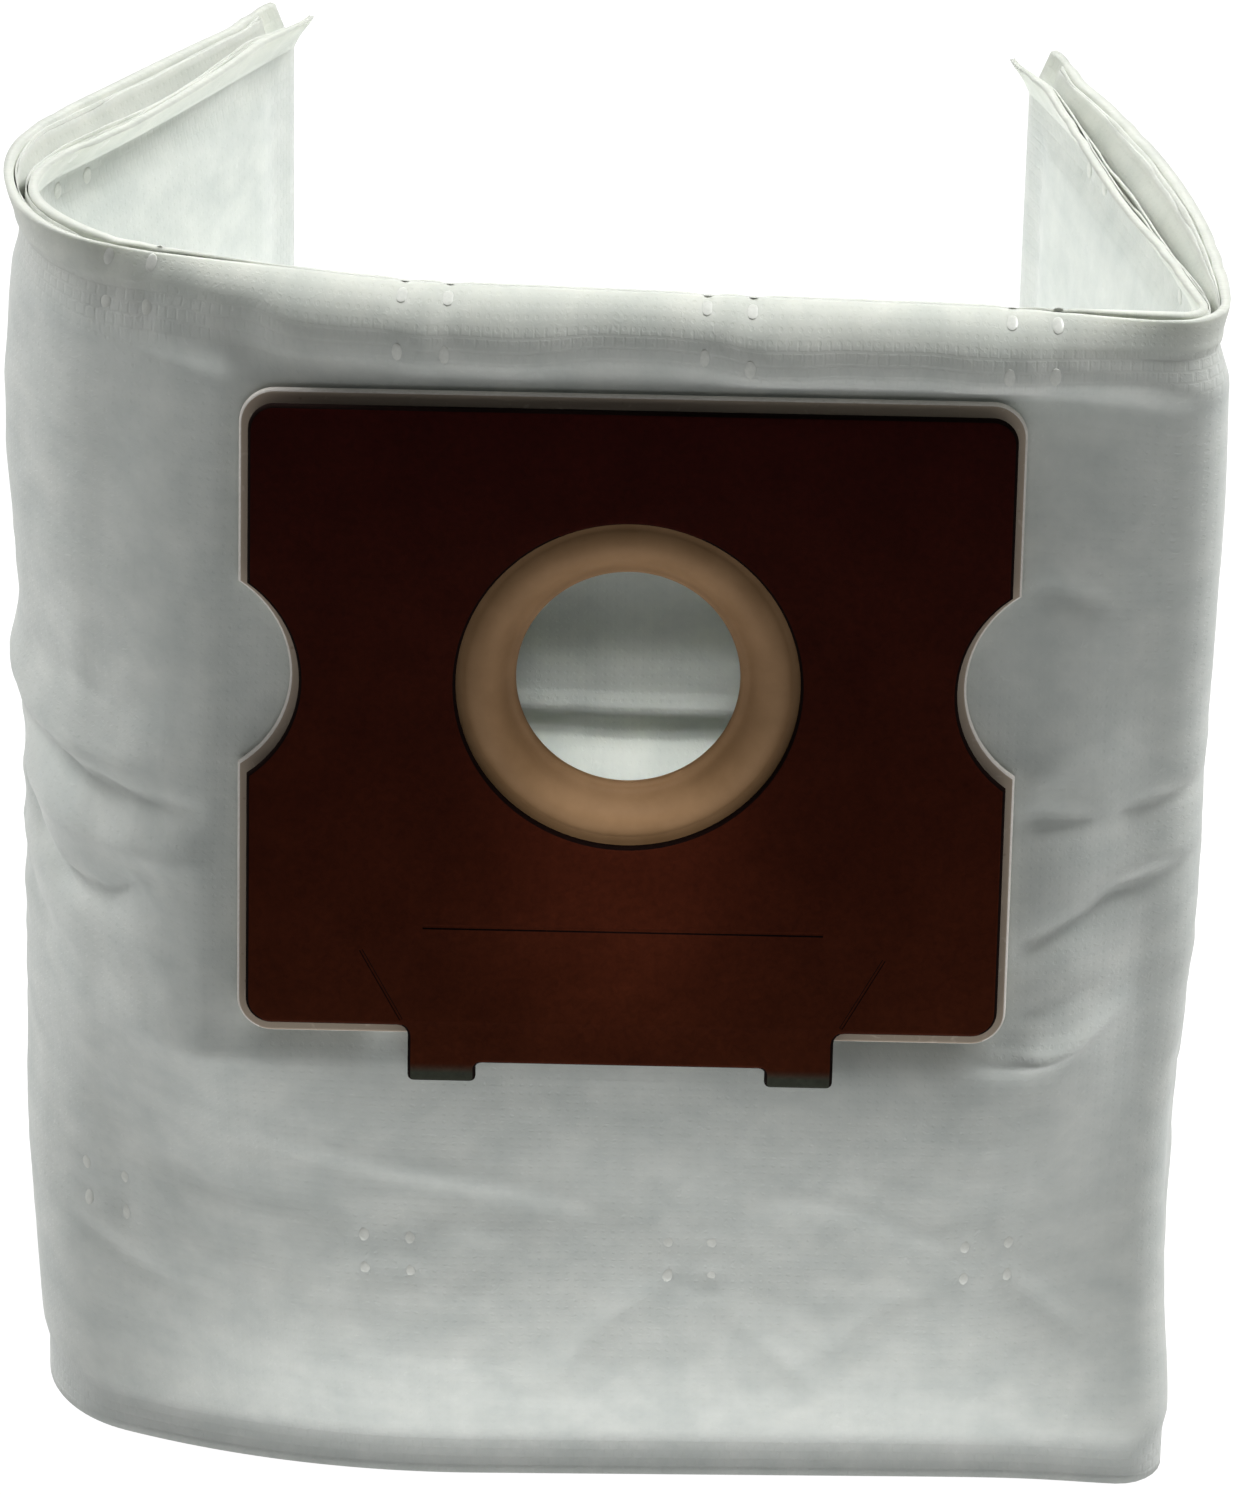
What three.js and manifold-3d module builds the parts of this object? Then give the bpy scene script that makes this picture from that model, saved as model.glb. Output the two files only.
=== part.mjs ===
// A vacuum cleaner's dust bag, stood on its lower edge with its two ends folded back.
// Two sheets of white non-woven filter fabric are welded together round all four edges.
// A card collar on the front has a rubber seal that closes round the hose spigot.
// Millimetres, +Z up. The front faces -Y, and the origin is the centre of the footprint.

import * as THREE from 'three';
import { LoftGeometry } from 'three/addons/geometries/LoftGeometry.js';
import { mergeVertices } from 'three/addons/utils/BufferGeometryUtils.js';
import Module from 'manifold-3d';

const { lerp, clamp, smoothstep, degToRad } = THREE.MathUtils;

// Bag, measured flat
const BAG_WIDTH = 340;
const BAG_HEIGHT = 200;
const SHEET_THICKNESS = 1;
const WELD_GAP = 0.3;
const SIDE_MARGIN = 5;
const BOTTOM_MARGIN = 6;
const TOP_MARGIN = 6.5;

// How it stands: a sharp fold on the right, a round bend on the left
const FRONT_YAW = degToRad(-2.8);
const RIGHT_FRONT = 77.5;
const FOLD_RADIUS = 5;
const FOLD_TURN = degToRad(95.5);
const RIGHT_WING_RADIUS = 175;
const LEFT_FRONT = 21;
const SHOULDER_RADIUS = 145;
const SHOULDER_TURN = degToRad(22);
const BEND_RADIUS = 22;
const BEND_TURN = degToRad(99);
const LEAN = 5.8;
const LEAN_TWIST = 0.07;
const LEAN_CURVE = 1.3;

// How far the sheets stand apart
const FRONT_PUFF = 13;
const BACK_PUFF = 12;
const WING_PUFF = 4.5;
const PUFF_EDGE = 45;
const FOLD_PINCH = 0.75;
const FOLD_PINCH_REACH = 16;
const BEND_PINCH = 0.35;
const BEND_PINCH_REACH = 30;
const FRONT_LIP = 2.2;
const WING_LIP = 4.2;

// Crease left by the pack, where the bag was folded in half
const PACK_FOLD_HEIGHT = 112;
const PACK_FOLD_DEPTH = 9;
const PACK_FOLD_REACH = 10;
const PACK_RIDGE_RISE = 15;
const PACK_RIDGE_DEPTH = 2;
const PACK_RIDGE_REACH = 5;

// Soft folds in the front sheet: both ends as [distance along the bag, height], then depth and reach
const FRONT_FOLDS = [
  { from: [-116, 126], to: [-64, 117], depth: 1.8, reach: 7 },
  { from: [-112, 112], to: [-72, 108], depth: -1.8, reach: 6 },
  { from: [60, 117], to: [84, 122], depth: -1.6, reach: 6 },
  { from: [60, 97], to: [82, 108], depth: -2, reach: 6 },
  { from: [60, 82], to: [80, 88], depth: 2, reach: 6 },
  { from: [-56, 58], to: [12, 42], depth: -1.2, reach: 8 },
  { from: [14, 48], to: [58, 32], depth: -1.2, reach: 8 },
];

// Collar
const COLLAR_WIDTH = 110;
const COLLAR_ABOVE = 42;
const COLLAR_BELOW = 53.8;
const COLLAR_CORNER = 3.8;
const COLLAR_TILT = degToRad(8.5);
const COLLAR_DROP = 57;
const COLLAR_STAND_OFF = 8;
const PLATE_THICKNESS = 1.6;
const BACKING_THICKNESS = 1.5;
const BACKING_BORDER = 1.4;
const BACKING_LOWER = 1;
const GLUE_LINE = 0.3;
const NOTCH_RADIUS = 18.2;
const NOTCH_DEPTH = 7.5;
const TONGUE_WIDTH = 62.4;
const TONGUE_DROP = 5.8;
const FOOT_WIDTH = 10;
const FOOT_DROP = 3.8;
const FOOT_BEND = degToRad(22);
const SCORE_DROP = 38;
const SCORE_WIDTH = 0.8;
const SCORE_DEPTH = 0.3;
const SCORE_SLANT = [6, 11];

// Seal
const HOLE_RADIUS = 16.2;
const WINDOW_RADIUS = 24.9;
const SEAL_THICKNESS = 0.8;
const SEAL_OVERLAP = 5;
const SEAL_DISH = 2;
const SEAL_LIP = 0.7;
const BACKING_HOLE_CLEARANCE = 0.6;
const FABRIC_HOLE_CLEARANCE = 1.5;

// Fineness of the model
const COLUMN_STEP = 9;
const FOLD_COLUMNS = 4;
const BEND_COLUMNS = 8;
const ROW_STEP = 9.5;
const LAND_FADE = 22;
const LAND_MARGIN = 2;
const ROUND_SEGMENTS = 48;

const wasm = await Module();
wasm.setup();

const fabric = new THREE.MeshStandardMaterial({ color: 0xdfe2df, roughness: 0.85, metalness: 0 });
const brownCard = new THREE.MeshStandardMaterial({ color: 0x34150f, roughness: 0.6, metalness: 0 });
const rawCard = new THREE.MeshStandardMaterial({ color: 0xa08466, roughness: 0.9, metalness: 0 });
const rubber = new THREE.MeshStandardMaterial({ color: 0xa9835a, roughness: 0.7, metalness: 0 });

// The plan of the bag, as stretches laid end to end from the collar's centre line
const half = BAG_WIDTH / 2;
const foldLength = FOLD_RADIUS * FOLD_TURN;
const shoulderLength = SHOULDER_RADIUS * SHOULDER_TURN;
const bendLength = BEND_RADIUS * BEND_TURN;
const rightWing = half - RIGHT_FRONT - foldLength;
const leftWing = half - LEFT_FRONT - shoulderLength - bendLength;

const rightStretches = [
  { length: RIGHT_FRONT, turn: 0 },
  { length: foldLength, turn: FOLD_TURN },
  { length: rightWing, turn: rightWing / RIGHT_WING_RADIUS },
];
const leftStretches = [
  { length: LEFT_FRONT, turn: 0 },
  { length: shoulderLength, turn: -SHOULDER_TURN },
  { length: bendLength, turn: -BEND_TURN },
  { length: leftWing, turn: 0 },
];
const foldCentre = RIGHT_FRONT + foldLength / 2;
const bendCentre = -(LEFT_FRONT + shoulderLength + bendLength / 2);

// Point and outward direction at a distance along the bag, negative to the left of the collar
function planAt(distance) {
  const rightSide = distance >= 0;
  let heading = rightSide ? FRONT_YAW : Math.PI + FRONT_YAW;
  let left = Math.abs(distance);
  let x = 0;
  let y = 0;
  for (const { length, turn } of rightSide ? rightStretches : leftStretches) {
    const run = Math.min(left, length);
    const curvature = turn / length;
    const next = heading + curvature * run;
    if (turn === 0) {
      x += run * Math.cos(heading);
      y += run * Math.sin(heading);
    } else {
      x += (Math.sin(next) - Math.sin(heading)) / curvature;
      y += (Math.cos(heading) - Math.cos(next)) / curvature;
    }
    heading = next;
    left -= run;
  }
  const side = rightSide ? 1 : -1;
  return { x, y, outX: side * Math.sin(heading), outY: -side * Math.cos(heading) };
}

// The collar's own frame: origin at the hole's centre on the front face, +Z out of the bag
const landHalf = COLLAR_WIDTH / 2 + BACKING_BORDER + LAND_MARGIN;
const collarStack = PLATE_THICKNESS + SEAL_THICKNESS + BACKING_THICKNESS + 3 * GLUE_LINE;
const collarHeight = BAG_HEIGHT - COLLAR_DROP;
const landCentreY = -COLLAR_STAND_OFF - leanAt(0, collarHeight);
const collarY = landCentreY - collarStack / Math.cos(COLLAR_TILT);
const landTop = collarHeight + COLLAR_ABOVE + BACKING_BORDER;
const landBottom = collarHeight - COLLAR_BELOW - TONGUE_DROP - LAND_MARGIN;

// How far forward of its top edge the bag stands, more on the left than on the right
function leanAt(x, z) {
  return (LEAN - LEAN_TWIST * x) * (1 - z / BAG_HEIGHT) ** LEAN_CURVE;
}

// The flat part of the front sheet that the collar is glued to
function landY(z) {
  return landCentreY + (z - collarHeight) * Math.tan(COLLAR_TILT);
}

function landShare(s, z) {
  return (
    (1 - smoothstep(Math.abs(s), landHalf, landHalf + LAND_FADE)) *
    (1 - smoothstep(z, landTop, BAG_HEIGHT - TOP_MARGIN)) *
    smoothstep(z, landBottom - LAND_FADE, landBottom)
  );
}

// 0 at the welds, 1 well inside them
function puffShare(s, z) {
  const up = clamp((z - BOTTOM_MARGIN) / (BAG_HEIGHT - TOP_MARGIN - BOTTOM_MARGIN), 0, 1);
  const inward = clamp((half - SIDE_MARGIN - Math.abs(s)) / PUFF_EDGE, 0, 1);
  const nearFold = Math.exp(-(((s - foldCentre) / FOLD_PINCH_REACH) ** 2));
  const nearBend = Math.exp(-(((s - bendCentre) / BEND_PINCH_REACH) ** 2));
  const pinch = (1 - FOLD_PINCH * nearFold) * (1 - BEND_PINCH * nearBend);
  return Math.sin(Math.PI * up) ** 0.75 * Math.sin((Math.PI / 2) * inward) ** 0.75 * pinch;
}

// 1 on the front, 0 on the wings
function frontShare(s) {
  return s > 0
    ? 1 - smoothstep(s, RIGHT_FRONT - 30, foldCentre + 10)
    : 1 - smoothstep(-s, LEFT_FRONT + 25, -bendCentre);
}

// How far the free top edge opens above the weld
function lipAt(s, z) {
  const rise = clamp((z - (BAG_HEIGHT - TOP_MARGIN)) / TOP_MARGIN, 0, 1);
  const wingStart = s > 0 ? foldCentre : -bendCentre - bendLength / 2;
  const alongWing = clamp((Math.abs(s) - wingStart) / (half - wingStart), 0, 1);
  const wingOpen = WING_LIP * Math.sin(Math.PI * alongWing) ** 0.8;
  return rise * (FRONT_LIP * frontShare(s) + wingOpen);
}

// Height of a soft fold at a point of the sheet, fading at both of its ends
function foldHeight({ from, to, depth, reach }, s, z) {
  const start = new THREE.Vector2(...from);
  const run = new THREE.Vector2(...to).sub(start);
  const offset = new THREE.Vector2(s, z).sub(start);
  const along = offset.dot(run) / run.lengthSq();
  const away = offset.cross(run) / run.length();
  const fade = smoothstep(along, -0.15, 0.2) * (1 - smoothstep(along, 0.8, 1.15));
  return depth * fade * Math.exp(-((away / reach) ** 2));
}

function packFold(z, height, depth, reach) {
  return depth * Math.exp(-(((z - height) / reach) ** 2));
}

// Outward distance of the front sheet's hollow side from the bag's middle surface
function frontOffset(s, z) {
  const puff = puffShare(s, z) * lerp(WING_PUFF, FRONT_PUFF, frontShare(s));
  const folds = FRONT_FOLDS.reduce((sum, fold) => sum + foldHeight(fold, s, z), 0);
  return WELD_GAP / 2 + Math.max(0, puff + folds * puffShare(s, z)) + lipAt(s, z);
}

// Inward distance of the back sheet's hollow side from the bag's middle surface
function backOffset(s, z) {
  const puff = puffShare(s, z) * lerp(WING_PUFF, BACK_PUFF, frontShare(s));
  const groove = packFold(z, PACK_FOLD_HEIGHT, PACK_FOLD_DEPTH, PACK_FOLD_REACH);
  const ridge = packFold(z, PACK_FOLD_HEIGHT + PACK_RIDGE_RISE, PACK_RIDGE_DEPTH, PACK_RIDGE_REACH);
  const share = puff / BACK_PUFF;
  return WELD_GAP / 2 + Math.max(0, puff - share * (groove - ridge)) + lipAt(s, z);
}

function sheetPoint(s, z, outward) {
  const { x, y, outX, outY } = planAt(s);
  return new THREE.Vector3(x + outX * outward, y + outY * outward - leanAt(x, z), z);
}

function frontSheetPoint(s, z, depth) {
  const point = sheetPoint(s, z, frontOffset(s, z) + SHEET_THICKNESS - depth);
  point.y = lerp(point.y, landY(z) + depth, landShare(s, z));
  return point;
}

function backSheetPoint(s, z, depth) {
  return sheetPoint(s, z, -backOffset(s, z) - depth);
}

// Even stations from start to end, at most step apart, without the last one
function stations(start, end, step) {
  const count = Math.max(1, Math.ceil((end - start) / step));
  return Array.from({ length: count }, (_, i) => lerp(start, end, i / count));
}

function chain(stops, steps) {
  const inner = steps.flatMap((step, i) => stations(stops[i], stops[i + 1], step));
  return [...inner, stops[stops.length - 1]];
}

const columns = chain(
  [-half, -half + SIDE_MARGIN, -half + leftWing, bendLength + leftWing - half, -landHalf,
    landHalf, RIGHT_FRONT, RIGHT_FRONT + foldLength, half - SIDE_MARGIN, half],
  [SIDE_MARGIN, COLUMN_STEP, bendLength / BEND_COLUMNS, COLUMN_STEP, COLUMN_STEP,
    COLUMN_STEP, foldLength / FOLD_COLUMNS, COLUMN_STEP, SIDE_MARGIN],
);
const rows = chain(
  [0, BOTTOM_MARGIN, landBottom, landTop, BAG_HEIGHT - TOP_MARGIN, BAG_HEIGHT],
  [BOTTOM_MARGIN, ROW_STEP, ROW_STEP, ROW_STEP, TOP_MARGIN / 2],
);

// A sheet is lofted from upright sections: up its first face and down its second
function sheetGeometry(pointAt, nearDepth, farDepth) {
  const sections = columns.map((s) => [
    ...rows.map((z) => pointAt(s, z, nearDepth)),
    ...rows.toReversed().map((z) => pointAt(s, z, farDepth)),
  ]);
  return new LoftGeometry(sections, { capStart: true, capEnd: true });
}

function toSolid(geometry) {
  const bare = new THREE.BufferGeometry().copy(geometry);
  bare.deleteAttribute('normal');
  bare.deleteAttribute('uv');
  const merged = mergeVertices(bare, 1e-4);
  const vertProperties = new Float32Array(merged.attributes.position.array);
  const triVerts = new Uint32Array(merged.index.array);
  return new wasm.Manifold(new wasm.Mesh({ numProp: 3, vertProperties, triVerts }));
}

function toGeometry(solid) {
  const { vertProperties, triVerts } = solid.getMesh();
  const geometry = new THREE.BufferGeometry();
  geometry.setAttribute('position', new THREE.BufferAttribute(vertProperties, 3));
  geometry.setIndex(new THREE.BufferAttribute(triVerts, 1));
  geometry.computeVertexNormals();
  return geometry;
}

function namedMesh(name, geometry, material) {
  const mesh = new THREE.Mesh(geometry, material);
  mesh.name = name;
  return mesh;
}

// Turns and lifts a piece made in the collar's frame to its place on the bag
function placeOnCollar(object) {
  object.rotation.x = Math.PI / 2 - COLLAR_TILT;
  object.position.set(0, collarY, collarHeight);
  object.updateMatrix();
  return object;
}

function frontSheet() {
  const radius = WINDOW_RADIUS + FABRIC_HOLE_CLEARANCE;
  const punch = new THREE.CylinderGeometry(radius, radius, 6 * SHEET_THICKNESS, ROUND_SEGMENTS);
  punch.rotateX(Math.PI / 2);
  punch.translate(0, 0, -collarStack - SHEET_THICKNESS / 2);
  punch.applyMatrix4(placeOnCollar(new THREE.Object3D()).matrix);
  const sheet = toSolid(sheetGeometry(frontSheetPoint, SHEET_THICKNESS, 0));
  return namedMesh('front_sheet', toGeometry(sheet.subtract(toSolid(punch))), fabric);
}

function backSheet() {
  return namedMesh('back_sheet', sheetGeometry(backSheetPoint, SHEET_THICKNESS, 0), fabric);
}

// Outline of a collar card with a notch in each side, grown outwards by a border and lower down by a drop
function collarOutline(border, drop) {
  const side = COLLAR_WIDTH / 2 + border;
  const above = COLLAR_ABOVE + border;
  const below = COLLAR_BELOW + border + drop;
  const corner = COLLAR_CORNER + border;
  const notchRadius = NOTCH_RADIUS - border;
  const notchX = COLLAR_WIDTH / 2 - NOTCH_DEPTH + NOTCH_RADIUS;
  const notchAngle = Math.acos((notchX - side) / notchRadius);
  const shape = new THREE.Shape();
  shape.moveTo(0, -below);
  shape.absarc(side - corner, corner - below, corner, -Math.PI / 2, 0, false);
  shape.absarc(notchX, 0, notchRadius, Math.PI + notchAngle, Math.PI - notchAngle, true);
  shape.absarc(side - corner, above - corner, corner, 0, Math.PI / 2, false);
  shape.absarc(corner - side, above - corner, corner, Math.PI / 2, Math.PI, false);
  shape.absarc(-notchX, 0, notchRadius, notchAngle, -notchAngle, true);
  shape.absarc(corner - side, corner - below, corner, Math.PI, 1.5 * Math.PI, false);
  return shape;
}

function cardGeometry(thickness, holeRadius, border, drop) {
  const shape = collarOutline(border, drop);
  shape.holes.push(new THREE.Path().absarc(0, 0, holeRadius, 0, 2 * Math.PI, true));
  return new THREE.ExtrudeGeometry(shape, {
    depth: thickness,
    bevelEnabled: false,
    curveSegments: ROUND_SEGMENTS / 4,
  });
}

// A shallow groove pressed into the card from one point to another
function scoreGroove([x0, y0], [x1, y1]) {
  const length = Math.hypot(x1 - x0, y1 - y0);
  const groove = new THREE.BoxGeometry(length, SCORE_WIDTH, 2 * SCORE_DEPTH);
  groove.rotateZ(Math.atan2(y1 - y0, x1 - x0));
  groove.translate((x0 + x1) / 2, (y0 + y1) / 2, 0);
  return toSolid(groove);
}

// A foot at one end of the tongue, bent towards the bag
function foot(side) {
  const overlap = PLATE_THICKNESS;
  const geometry = new THREE.BoxGeometry(FOOT_WIDTH, FOOT_DROP + overlap, PLATE_THICKNESS);
  geometry.translate(0, (overlap - FOOT_DROP) / 2, -PLATE_THICKNESS / 2);
  geometry.rotateX(FOOT_BEND);
  const x = side * (TONGUE_WIDTH - FOOT_WIDTH) / 2;
  geometry.translate(x, -COLLAR_BELOW - TONGUE_DROP, 0);
  return toSolid(geometry);
}

function collarPlate() {
  const card = cardGeometry(PLATE_THICKNESS, WINDOW_RADIUS, 0, 0);
  card.translate(0, 0, -PLATE_THICKNESS);
  const tongue = new THREE.BoxGeometry(TONGUE_WIDTH, TONGUE_DROP + PLATE_THICKNESS, PLATE_THICKNESS);
  tongue.translate(0, (PLATE_THICKNESS - TONGUE_DROP) / 2 - COLLAR_BELOW, -PLATE_THICKNESS / 2);
  let solid = toSolid(card).add(toSolid(tongue));
  for (const side of [-1, 1]) {
    const slantFoot = [side * (TONGUE_WIDTH / 2 + 1), 1 - COLLAR_BELOW];
    const slantHead = [slantFoot[0] + side * SCORE_SLANT[0], slantFoot[1] + SCORE_SLANT[1]];
    solid = solid.add(foot(side)).subtract(scoreGroove(slantFoot, slantHead));
  }
  const scoreEnd = TONGUE_WIDTH / 2 - 2;
  solid = solid.subtract(scoreGroove([-scoreEnd, -SCORE_DROP], [scoreEnd, -SCORE_DROP]));
  return placeOnCollar(namedMesh('collar_plate', toGeometry(solid), brownCard));
}

function collarBacking() {
  const holeRadius = WINDOW_RADIUS + BACKING_HOLE_CLEARANCE;
  const card = cardGeometry(BACKING_THICKNESS, holeRadius, BACKING_BORDER, BACKING_LOWER);
  card.translate(0, 0, GLUE_LINE - collarStack);
  return placeOnCollar(namedMesh('collar_backing', card, rawCard));
}

// A rubber washer held between the two cards, dished towards the bag round the hole
function sealRing() {
  const outer = WINDOW_RADIUS + SEAL_OVERLAP;
  const neck = WINDOW_RADIUS - SEAL_THICKNESS;
  const front = -PLATE_THICKNESS - GLUE_LINE;
  const back = front - SEAL_THICKNESS;
  const lip = HOLE_RADIUS + SEAL_LIP;
  const lipCentre = front - SEAL_DISH - SEAL_LIP;
  const profile = new THREE.Path();
  profile.moveTo(outer, back);
  profile.lineTo(outer, front);
  profile.lineTo(neck, front);
  profile.lineTo(lip, lipCentre + SEAL_LIP);
  profile.absarc(lip, lipCentre, SEAL_LIP, Math.PI / 2, 1.5 * Math.PI, false);
  profile.lineTo(neck, back);
  profile.closePath();
  const points = profile.getPoints(3);
  const geometry = new THREE.LatheGeometry(points, ROUND_SEGMENTS);
  geometry.rotateX(Math.PI / 2);
  return placeOnCollar(namedMesh('seal_ring', toGeometry(toSolid(geometry)), rubber));
}

const bag = new THREE.Group();
bag.add(frontSheet(), backSheet(), collarBacking(), sealRing(), collarPlate());

const extent = new THREE.Box3().setFromObject(bag, true);
const centre = extent.getCenter(new THREE.Vector3());
bag.position.set(-centre.x, -centre.y, -extent.min.z);

export default bag;
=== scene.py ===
# A vacuum cleaner's dust bag of white non-woven fabric, stood on its lower edge with both ends
# folded back, and its card collar with a rubber seal. Lengths are in millimetres until a mesh is
# made. The bag is described by the distance s along its width, measured from the collar's centre
# line, and by the height z.

import math
from contextlib import contextmanager

import bmesh
import bpy
import numpy as np
from mathutils import Matrix, Vector


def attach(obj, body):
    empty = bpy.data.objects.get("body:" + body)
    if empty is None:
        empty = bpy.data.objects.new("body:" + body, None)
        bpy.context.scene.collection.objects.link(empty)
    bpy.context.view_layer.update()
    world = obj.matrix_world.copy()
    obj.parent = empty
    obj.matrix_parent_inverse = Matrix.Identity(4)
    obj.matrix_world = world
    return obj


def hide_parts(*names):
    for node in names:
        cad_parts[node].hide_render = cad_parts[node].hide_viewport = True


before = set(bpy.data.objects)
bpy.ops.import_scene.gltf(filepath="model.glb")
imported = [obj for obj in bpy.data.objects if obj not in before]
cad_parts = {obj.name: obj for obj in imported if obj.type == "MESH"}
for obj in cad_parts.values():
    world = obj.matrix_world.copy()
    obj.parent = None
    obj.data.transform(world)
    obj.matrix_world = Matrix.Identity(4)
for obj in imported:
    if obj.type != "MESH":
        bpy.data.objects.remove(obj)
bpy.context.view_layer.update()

MM = 0.001
RNG_SEED = 24

# Bag, measured flat
BAG_WIDTH = 340
BAG_HEIGHT = 200
SIDE_MARGIN = 5
BOTTOM_MARGIN = 6
TOP_MARGIN = 6.5

# How it stands, as in the frame
FRONT_YAW = math.radians(-2.8)
RIGHT_FRONT = 77.5
FOLD_RADIUS = 5
FOLD_TURN = math.radians(95.5)
RIGHT_WING_RADIUS = 175
LEFT_FRONT = 21
SHOULDER_RADIUS = 145
SHOULDER_TURN = math.radians(22)
BEND_RADIUS = 22
BEND_TURN = math.radians(99)
LEAN = 5.8
LEAN_TWIST = 0.07
LEAN_CURVE = 1.3

# How far the sheets stand apart
FRONT_PUFF = 13
BACK_PUFF = 12
WING_PUFF = 4.5
PUFF_EDGE = 45
FOLD_PINCH = (0.75, 16)
BEND_PINCH = (0.35, 30)
PUFF_ROUNDNESS = 0.75
FRONT_LIP = 2.2
WING_LIP = 4.2
LIP_ROUNDNESS = 0.8
TIP_OPEN = 3.2
TIP_START = 0.86
BEND_SHUT = (0.8, 13)
FRONT_ENDS = (-30, 10, 25)

# Collar, in its own frame: origin at the hole's centre on the plate's face, +Z out of the bag
COLLAR_WIDTH = 110
COLLAR_ABOVE = 42
COLLAR_BELOW = 53.8
COLLAR_CORNER = 3.8
COLLAR_TILT = math.radians(8.5)
COLLAR_DROP = 57
COLLAR_STAND_OFF = 8
PLATE_THICKNESS = 1.6
BACKING_THICKNESS = 1.5
BACKING_BORDER = 1.4
BACKING_LOWER = 1
SEAL_THICKNESS = 0.8
GLUE_LINE = 0.3
NOTCH_RADIUS = 18.2
NOTCH_DEPTH = 7.5
TONGUE_WIDTH = 62.4
TONGUE_DROP = 5.8
FOOT_WIDTH = 10
FOOT_DROP = 3.8
FOOT_BEND = math.radians(22)
FOOT_ROUND = 1.2
FOOT_CUTS = (0, 0.3, 0.6, 0.9, 1.2)
FOOT_CORNER = 0.9
TONGUE_CORNER = 1.6
TONGUE_GAP = 0.02
SCORE_DROP = 38
SCORE_RADIUS = 0.55
SCORE_LIFT = 0.41
FAINT_SCORE_LIFT = 0.475
FAINT_SCORE = (1, 6, 11)
SCORE_MARGIN = 2
PLATE_ROUNDING = 0.7
BACKING_ROUNDING = 0.55
BACKING_CLEARANCE = 0.6
SHARP_ANGLE = 35
SEAL_SHARP_ANGLE = 50
CUT_EDGE_LIMIT = 0.96
SEAL_BORDER = 5
SEAL_BEAD = 0.9
SEAL_DISH = 2.7
SEAL_CROWN = 1.4
SEAL_WEB = 0.6
SEAL_CROWN_ROUND = 0.8
SEAL_FACE_STEPS = (0.06, 0.9, 14)
SEAL_BEAD_STEPS = (80, 280, 12)
SEAL_BACK_STEPS = (0.85, 0.06, 8)
ROUND_STEPS = 160
WINDOW_STEPS = 120
FINE_STEPS = 24
HOLE_RADIUS = 16.2
WINDOW_RADIUS = 24.9
LAND_FADE = 22
LAND_FADE_LEFT = 34
LAND_FADE_BELOW = 30
LAND_MARGIN = 2
FALL_STEEPNESS = 1.6
CREASES_CLEAR = (0.3, 4.5)

HALF = BAG_WIDTH / 2
WELD_TOP = BAG_HEIGHT - TOP_MARGIN
STACK = PLATE_THICKNESS + SEAL_THICKNESS + BACKING_THICKNESS + 3 * GLUE_LINE
COLLAR_HEIGHT = BAG_HEIGHT - COLLAR_DROP
HINGE_HEIGHT = COLLAR_HEIGHT - (COLLAR_BELOW + TONGUE_DROP) * math.cos(COLLAR_TILT)
PLAN_STEP = 0.05


def smoothstep(x, low, high):
    t = np.clip((x - low) / (high - low), 0, 1)
    return t * t * (3 - 2 * t)


def hump(x, centre, reach):
    """1 at a place, falling softly to 0 on both of its sides."""
    return np.exp(-(((x - centre) / reach) ** 2))


def bulge(x, centre, depth, reach):
    """The same with a depth. Forms are (depth, reach) or (centre, depth, reach)."""
    return depth * hump(x, centre, reach)


def between(x, start, full, fading, end):
    """1 from one place to another, 0 outside them."""
    return smoothstep(x, start, full) * (1 - smoothstep(x, fading, end))


def lean_at(x, z):
    """How far forward of its top edge the bag stands at a height."""
    return (LEAN - LEAN_TWIST * x) * np.maximum(0, 1 - z / BAG_HEIGHT) ** LEAN_CURVE


def plan_table():
    """The bag's line seen from above: distance, x, y and heading at fine stations."""
    fold = FOLD_RADIUS * FOLD_TURN
    right_wing = HALF - RIGHT_FRONT - fold
    shoulder = SHOULDER_RADIUS * SHOULDER_TURN
    bend = BEND_RADIUS * BEND_TURN
    left_wing = HALF - LEFT_FRONT - shoulder - bend
    right = [(RIGHT_FRONT, 0), (fold, FOLD_TURN), (right_wing, right_wing / RIGHT_WING_RADIUS)]
    left = [(LEFT_FRONT, 0), (shoulder, SHOULDER_TURN), (bend, BEND_TURN), (left_wing, 0)]
    distance = np.arange(-HALF, HALF + PLAN_STEP / 5, PLAN_STEP)
    turned = np.zeros_like(distance)
    for side, stretches in ((1, right), (-1, left)):
        start = 0
        for length, turn in stretches:
            run = np.clip((side * distance - start) / length, 0, 1)
            turned += side * turn * run
            start += length
    heading = FRONT_YAW + turned
    middle = np.argmin(np.abs(distance))
    step = distance[1] - distance[0]
    half_way = (heading[1:] + heading[:-1]) / 2
    x = np.concatenate([[0], np.cumsum(np.cos(half_way) * step)])
    y = np.concatenate([[0], np.cumsum(np.sin(half_way) * step)])
    return distance, x - x[middle], y - y[middle], heading


PLAN = plan_table()
FOLD_CENTRE = RIGHT_FRONT + FOLD_RADIUS * FOLD_TURN / 2
BEND_LENGTH = BEND_RADIUS * BEND_TURN
BEND_CENTRE = -(LEFT_FRONT + SHOULDER_RADIUS * SHOULDER_TURN + BEND_LENGTH / 2)
LAND_HALF = COLLAR_WIDTH / 2 + BACKING_BORDER + LAND_MARGIN
LAND_TOP = COLLAR_HEIGHT + COLLAR_ABOVE + BACKING_BORDER
LAND_BOTTOM = COLLAR_HEIGHT - COLLAR_BELOW - TONGUE_DROP - LAND_MARGIN
BACKING_DROP = COLLAR_BELOW + BACKING_BORDER + BACKING_LOWER
BACKING_FOOT = COLLAR_HEIGHT - BACKING_DROP * math.cos(COLLAR_TILT)
LAND_CENTRE_Y = -COLLAR_STAND_OFF - lean_at(0, COLLAR_HEIGHT)
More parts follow.
